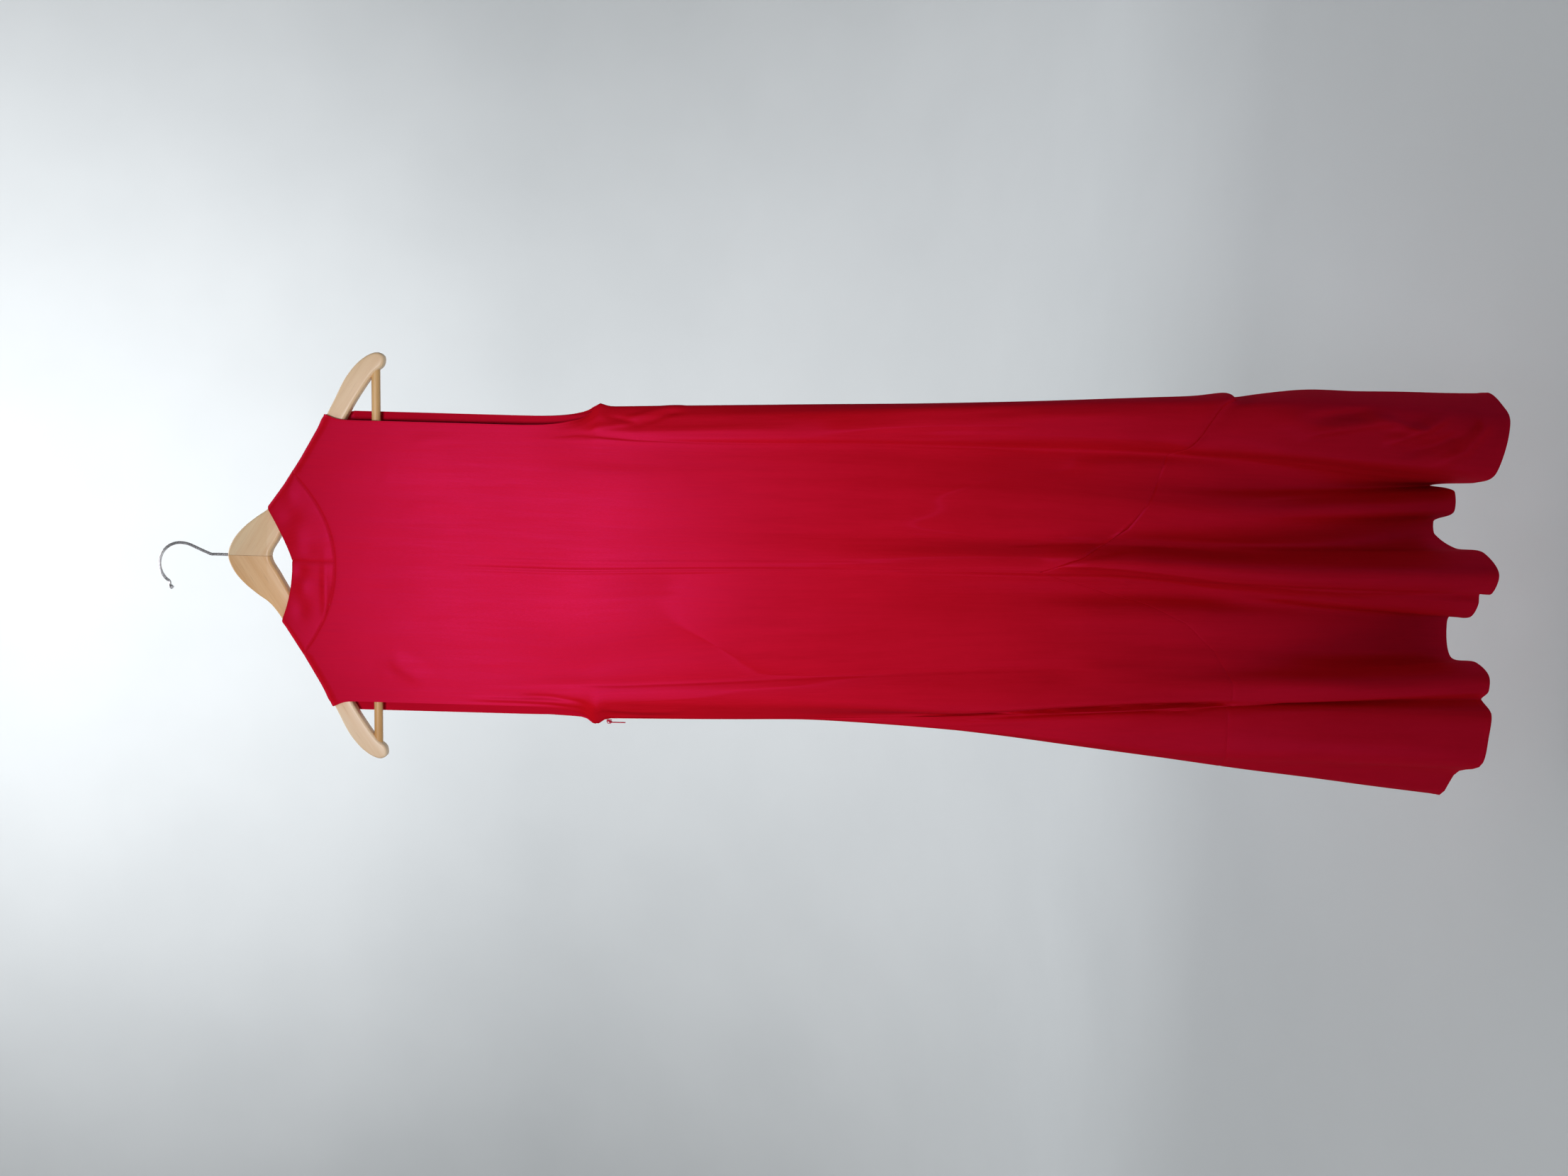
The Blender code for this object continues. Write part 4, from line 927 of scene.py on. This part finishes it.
def rounded_block(centre, size, lower, rounding):
    """A small block with rounded edges, its lower end narrowed to a share of its width."""
    pick()
    bpy.ops.mesh.primitive_cube_add(size=1.0, location=Vector(centre) * MM, scale=Vector(size) * MM)
    piece = bpy.context.object
    bpy.ops.object.transform_apply(location=False, rotation=False, scale=True)
    for vertex in piece.data.vertices:
        if vertex.co.z < 0:
            vertex.co.y *= lower
    bevel = piece.modifiers.new("rounding", "BEVEL")
    bevel.width = rounding * MM
    bevel.segments = 3
    bpy.ops.object.modifier_apply(modifier="rounding")
    return piece


def rod(points, closed, radius):
    """A thin rod along points, as a mesh."""
    return make_mesh(curve_piece(smooth_path(points, 0.3, closed), closed, dimensions="3D",
                                 bevel_depth=radius * MM, bevel_resolution=4, use_fill_caps=not closed))


def joined(pieces, name, material):
    pick(*pieces)
    bpy.ops.object.join()
    finish_mesh(bpy.context.object, material, 40)
    return settle(bpy.context.object, name)


def zip_slider(name, material):
    """Two small shields with a spine between them, and an arch that holds the pull tab."""
    x, y, z = SLIDER
    parts = [rounded_block((x + 0.9 + place, y, z), (0.55, 4.2, 6.0), 0.72, 0.25) for place in (0.28, 1.72)]
    parts.append(rounded_block((x + 1.9, y, z + 0.6), (1.2, 1.4, 4.0), 0.5, 0.2))
    arch = [(x + 1.2, y, z + 2.1), (x - 0.5, y, z + 2.1), (x - 1.2, y, z + 1.6), (x - 1.3, y, z),
            (x - 1.2, y, z - 1.6), (x - 0.5, y, z - 2.1), (x + 1.2, y, z - 2.1)]
    parts.append(rod(arch, False, 0.42))
    return joined(parts, name, material)


def zip_pull(name, material):
    """A wire eye through the arch and a flat tab, hanging straight down."""
    x, y, z = SLIDER
    eye = [(x, y - 1.3, z - 0.35), (x, y - 0.9, z), (x, y + 0.9, z), (x, y + 1.3, z - 0.35),
           (x, y + 1.35, z - 3.6), (x, y + 0.9, z - 4.1), (x, y - 0.9, z - 4.1), (x, y - 1.35, z - 3.6)]
    tab = rounded_block((x, y, z - 11.2), (0.8, 3.5, 14.6), 0.78, 0.3)
    ridge = rounded_block((x, y, z - 11.0), (1.0, 1.5, 10.5), 0.7, 0.2)
    return joined([tab, ridge, rod(eye, True, 0.4)], name, material)


# ---- putting it together ------------------------------------------------------------------

GLOSS_REDS = (0.82, 0.035, 0.27), (0.95, 0.045, 0.34)
SATIN = satin_finish("crimson satin", (0.62, 0.0042, 0.0096), (0.55, 0.0035, 0.0077), 0.51, 0.065)
DULL_SATIN = satin_finish("crimson satin, dull side", (0.56, 0.0040, 0.0180), (0.48, 0.0034, 0.0150),
                          0.6, 0.01)
# The left arm's paler, creamier tip colours are a painted highlight.
GOLDEN_WOOD = wood_finish("golden wood", (1.0, 0.64, 0.31), (0.86, 0.48, 0.19), radians(33),
                          tip=(-1.0, (1.0, 0.80, 0.55), (0.90, 0.64, 0.38)))
PALE_WOOD = wood_finish("pale wood", (1.0, 0.76, 0.45), (0.88, 0.57, 0.28), radians(-33),
                        tip=(1.0, (1.0, 0.74, 0.45), (0.86, 0.58, 0.30)))
BAR_WOOD = wood_finish("bar wood", (0.86, 0.54, 0.22), (0.62, 0.32, 0.10), 0.0)
STEEL = steel_finish("plated steel wire")
LACQUER = lacquer_finish("red zip lacquer")


def stand_in(piece, nodes, body="garment"):
    """The piece takes the place of the part's own nodes, and moves with their body."""
    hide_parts(*nodes)
    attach(piece, body)


stand_in(hanger_arm("wood_arm_left", -1, GOLDEN_WOOD), ["hanger_arm_left"])
stand_in(hanger_arm("wood_arm_right", 1, PALE_WOOD), ["hanger_arm_right"])
stand_in(trouser_bar("bar", BAR_WOOD), ["trouser_bar"])
stand_in(hook_wire("hook_wire", STEEL), ["hook"])

last_back = len(BACK_FOLDS) - 1
last_front = len(FRONT_FOLDS) - 1
centre_back = fold_number(BACK, "centre back")
cloth = [
    body_panel("back_left", BACK, 0, centre_back, 1.3, 180, SATIN),
    body_panel("back_right", BACK, centre_back, last_back, 1.3, 180, SATIN),
    body_panel("front", FRONT, 0, last_front, 3.0, 150, SATIN),
    flounce("flounce_back", BACK, 1.1, 82, SATIN),
    flounce("flounce_front", FRONT, 3.0, 73, SATIN),
    neck_band("band_left", -1, SATIN),
    neck_band("band_right", 1, SATIN),
    armhole_facing("facing_left", 0, 4.2, DULL_SATIN),
    armhole_facing("facing_right", last_front - 0.95, last_front, DULL_SATIN),
]

# Each piece's cut, before it was sewn and hung: its width and length, its area in square metres, what it
# hangs on, and the nodes that it stands for.
BODY, FLOUNCE = ("chest", "waist", "hip"), ("fold", "left", "right")
CUTS = {
    "back_left": ((0.21, 1.02), 0.178, ["wood_arm_left"], [f"back_left_{part}" for part in BODY]),
    "back_right": ((0.25, 1.00), 0.183, ["wood_arm_right"], [f"back_right_{part}" for part in BODY]),
    "front": ((0.46, 1.03), 0.357, ["wood_arm_left", "wood_arm_right"],
              [f"front_{hand}_{part}" for hand in ("left", "right") for part in BODY]),
    "flounce_back": ((0.53, 0.47), 0.168, ["back_left", "back_right"],
                     [f"back_flounce_{part}" for part in FLOUNCE]),
    "flounce_front": ((0.58, 0.45), 0.182, ["front"], [f"front_flounce_{part}" for part in FLOUNCE]),
    "band_left": ((0.31, 0.042), 0.0122, ["wood_arm_left"], ["neck_band_left"]),
    "band_right": ((0.31, 0.042), 0.0125, ["wood_arm_right"], ["neck_band_right"]),
    "facing_left": ((0.012, 0.22), 0.0026, ["front"], ["armhole_facing_left"]),
    "facing_right": ((0.010, 0.22), 0.0022, ["front"], ["armhole_facing_right"]),
}
for piece in cloth:
    flat, area, under, nodes = CUTS[piece.name]
    stand_in(piece, nodes)

stand_in(zip_slider("slider", LACQUER), ["zip_slider"])
stand_in(zip_pull("pull_tab", LACQUER), ["zip_pull"], "zip_pull")


# ---- floor, light and camera --------------------------------------------------------------

# The floor's section in metres, from the front to the back, where it turns up into a backdrop.
FLOOR_LEVEL, FLOOR_END, TURN = -1.62, 2.4, 2.2
SWEEP = [(-30.0, FLOOR_LEVEL), (-6.0, FLOOR_LEVEL), (FLOOR_END, FLOOR_LEVEL)]
SWEEP += [(FLOOR_END + TURN * sin(radians(turn)), FLOOR_LEVEL + TURN * (1 - cos(radians(turn))))
          for turn in range(3, 91, 3)]
SWEEP += [(FLOOR_END + TURN, 12.0)]

# Each lamp's kind, name, place, aim, size, power and colour.
LAMPS = (
    ("SPOT", "key", (-0.08, -1.34, -0.04), (0.0, 0.0, -0.55), 0.18, 53.0, (1.0, 0.97, 1.06)),
    ("AREA", "side", (-1.15, -1.0, -1.0), (0.05, 0.0, -1.15), 0.8, 2.6, (1.0, 0.98, 0.98)),
    ("AREA", "wash", (-0.2, 0.9, 5.5), (0.0, 3.7, -0.4), 4.0, 250.0, (1.0, 1.0, 1.0)),
    ("AREA", "upper wash", (-0.5, 0.9, 2.2), (-0.3, 4.6, 2.4), 3.0, 125.0, (1.0, 1.0, 1.0)),
)
SPOT_ANGLE = 55
ROOM_COLOUR, ROOM_STRENGTH = (0.80, 0.80, 0.77, 1.0), 0.07
YAW, ROLL, FOCAL_LENGTH, EYE = 6.0, 1.6, 27.03, (0.130, -1.316, -0.700)


def studio():
    bpy.context.scene.view_settings.view_transform = "Standard"
    pick()
    bpy.ops.mesh.primitive_grid_add(x_subdivisions=1, y_subdivisions=len(SWEEP) - 1, size=60.0)
    floor = bpy.context.object
    floor.name = "floor"
    for vertex in floor.data.vertices:
        vertex.co.y, vertex.co.z = SWEEP[vertex.index // 2]
    floor.data.shade_smooth()
    floor.data.materials.append(paint_finish("pale floor", (0.60, 0.63, 0.65), (0.63, 0.66, 0.68)))

    world = bpy.context.scene.world or bpy.data.worlds.new("studio")
    bpy.context.scene.world = world
    world.use_nodes = True
    background = world.node_tree.nodes["Background"]
    background.inputs["Color"].default_value = ROOM_COLOUR
    background.inputs["Strength"].default_value = ROOM_STRENGTH
    for lamp in LAMPS:
        add_lamp(*lamp)


def add_lamp(kind, name, place, aim, size, power, colour):
    lamp = bpy.data.lights.new(name, kind)
    lamp.energy = power
    lamp.color = colour
    if kind == "SPOT":
        lamp.shadow_soft_size = size
        lamp.spot_size = radians(SPOT_ANGLE)
        lamp.spot_blend = 1.0
    else:
        lamp.shape = "DISK"
        lamp.size = size
    rig = bpy.data.objects.new(name, lamp)
    rig.location = place
    rig.rotation_euler = (Vector(aim) - Vector(place)).to_track_quat("-Z", "Y").to_euler()
    rig.visible_camera = False
    bpy.context.scene.collection.objects.link(rig)


def camera():
    """Level with the hips, turned a little to the left, and held on its side."""
    yaw, roll = radians(YAW), radians(ROLL)
    look = Vector((-sin(yaw), cos(yaw), 0.0))
    up = Vector((0, 0, 1))
    side = look.cross(up)
    right = side * cos(roll) + up * sin(roll)
    top = up * cos(roll) - side * sin(roll)
    lens = bpy.data.cameras.new("camera")
    lens.sensor_width = 36.0
    lens.lens = FOCAL_LENGTH
    lens.clip_start = 0.05
    view = bpy.data.objects.new("camera", lens)
    place = Matrix((-top, right, -look)).transposed().to_4x4()
    place.translation = Vector(EYE)
    view.matrix_world = place
    bpy.context.scene.collection.objects.link(view)
    bpy.context.scene.camera = view


studio()
camera()
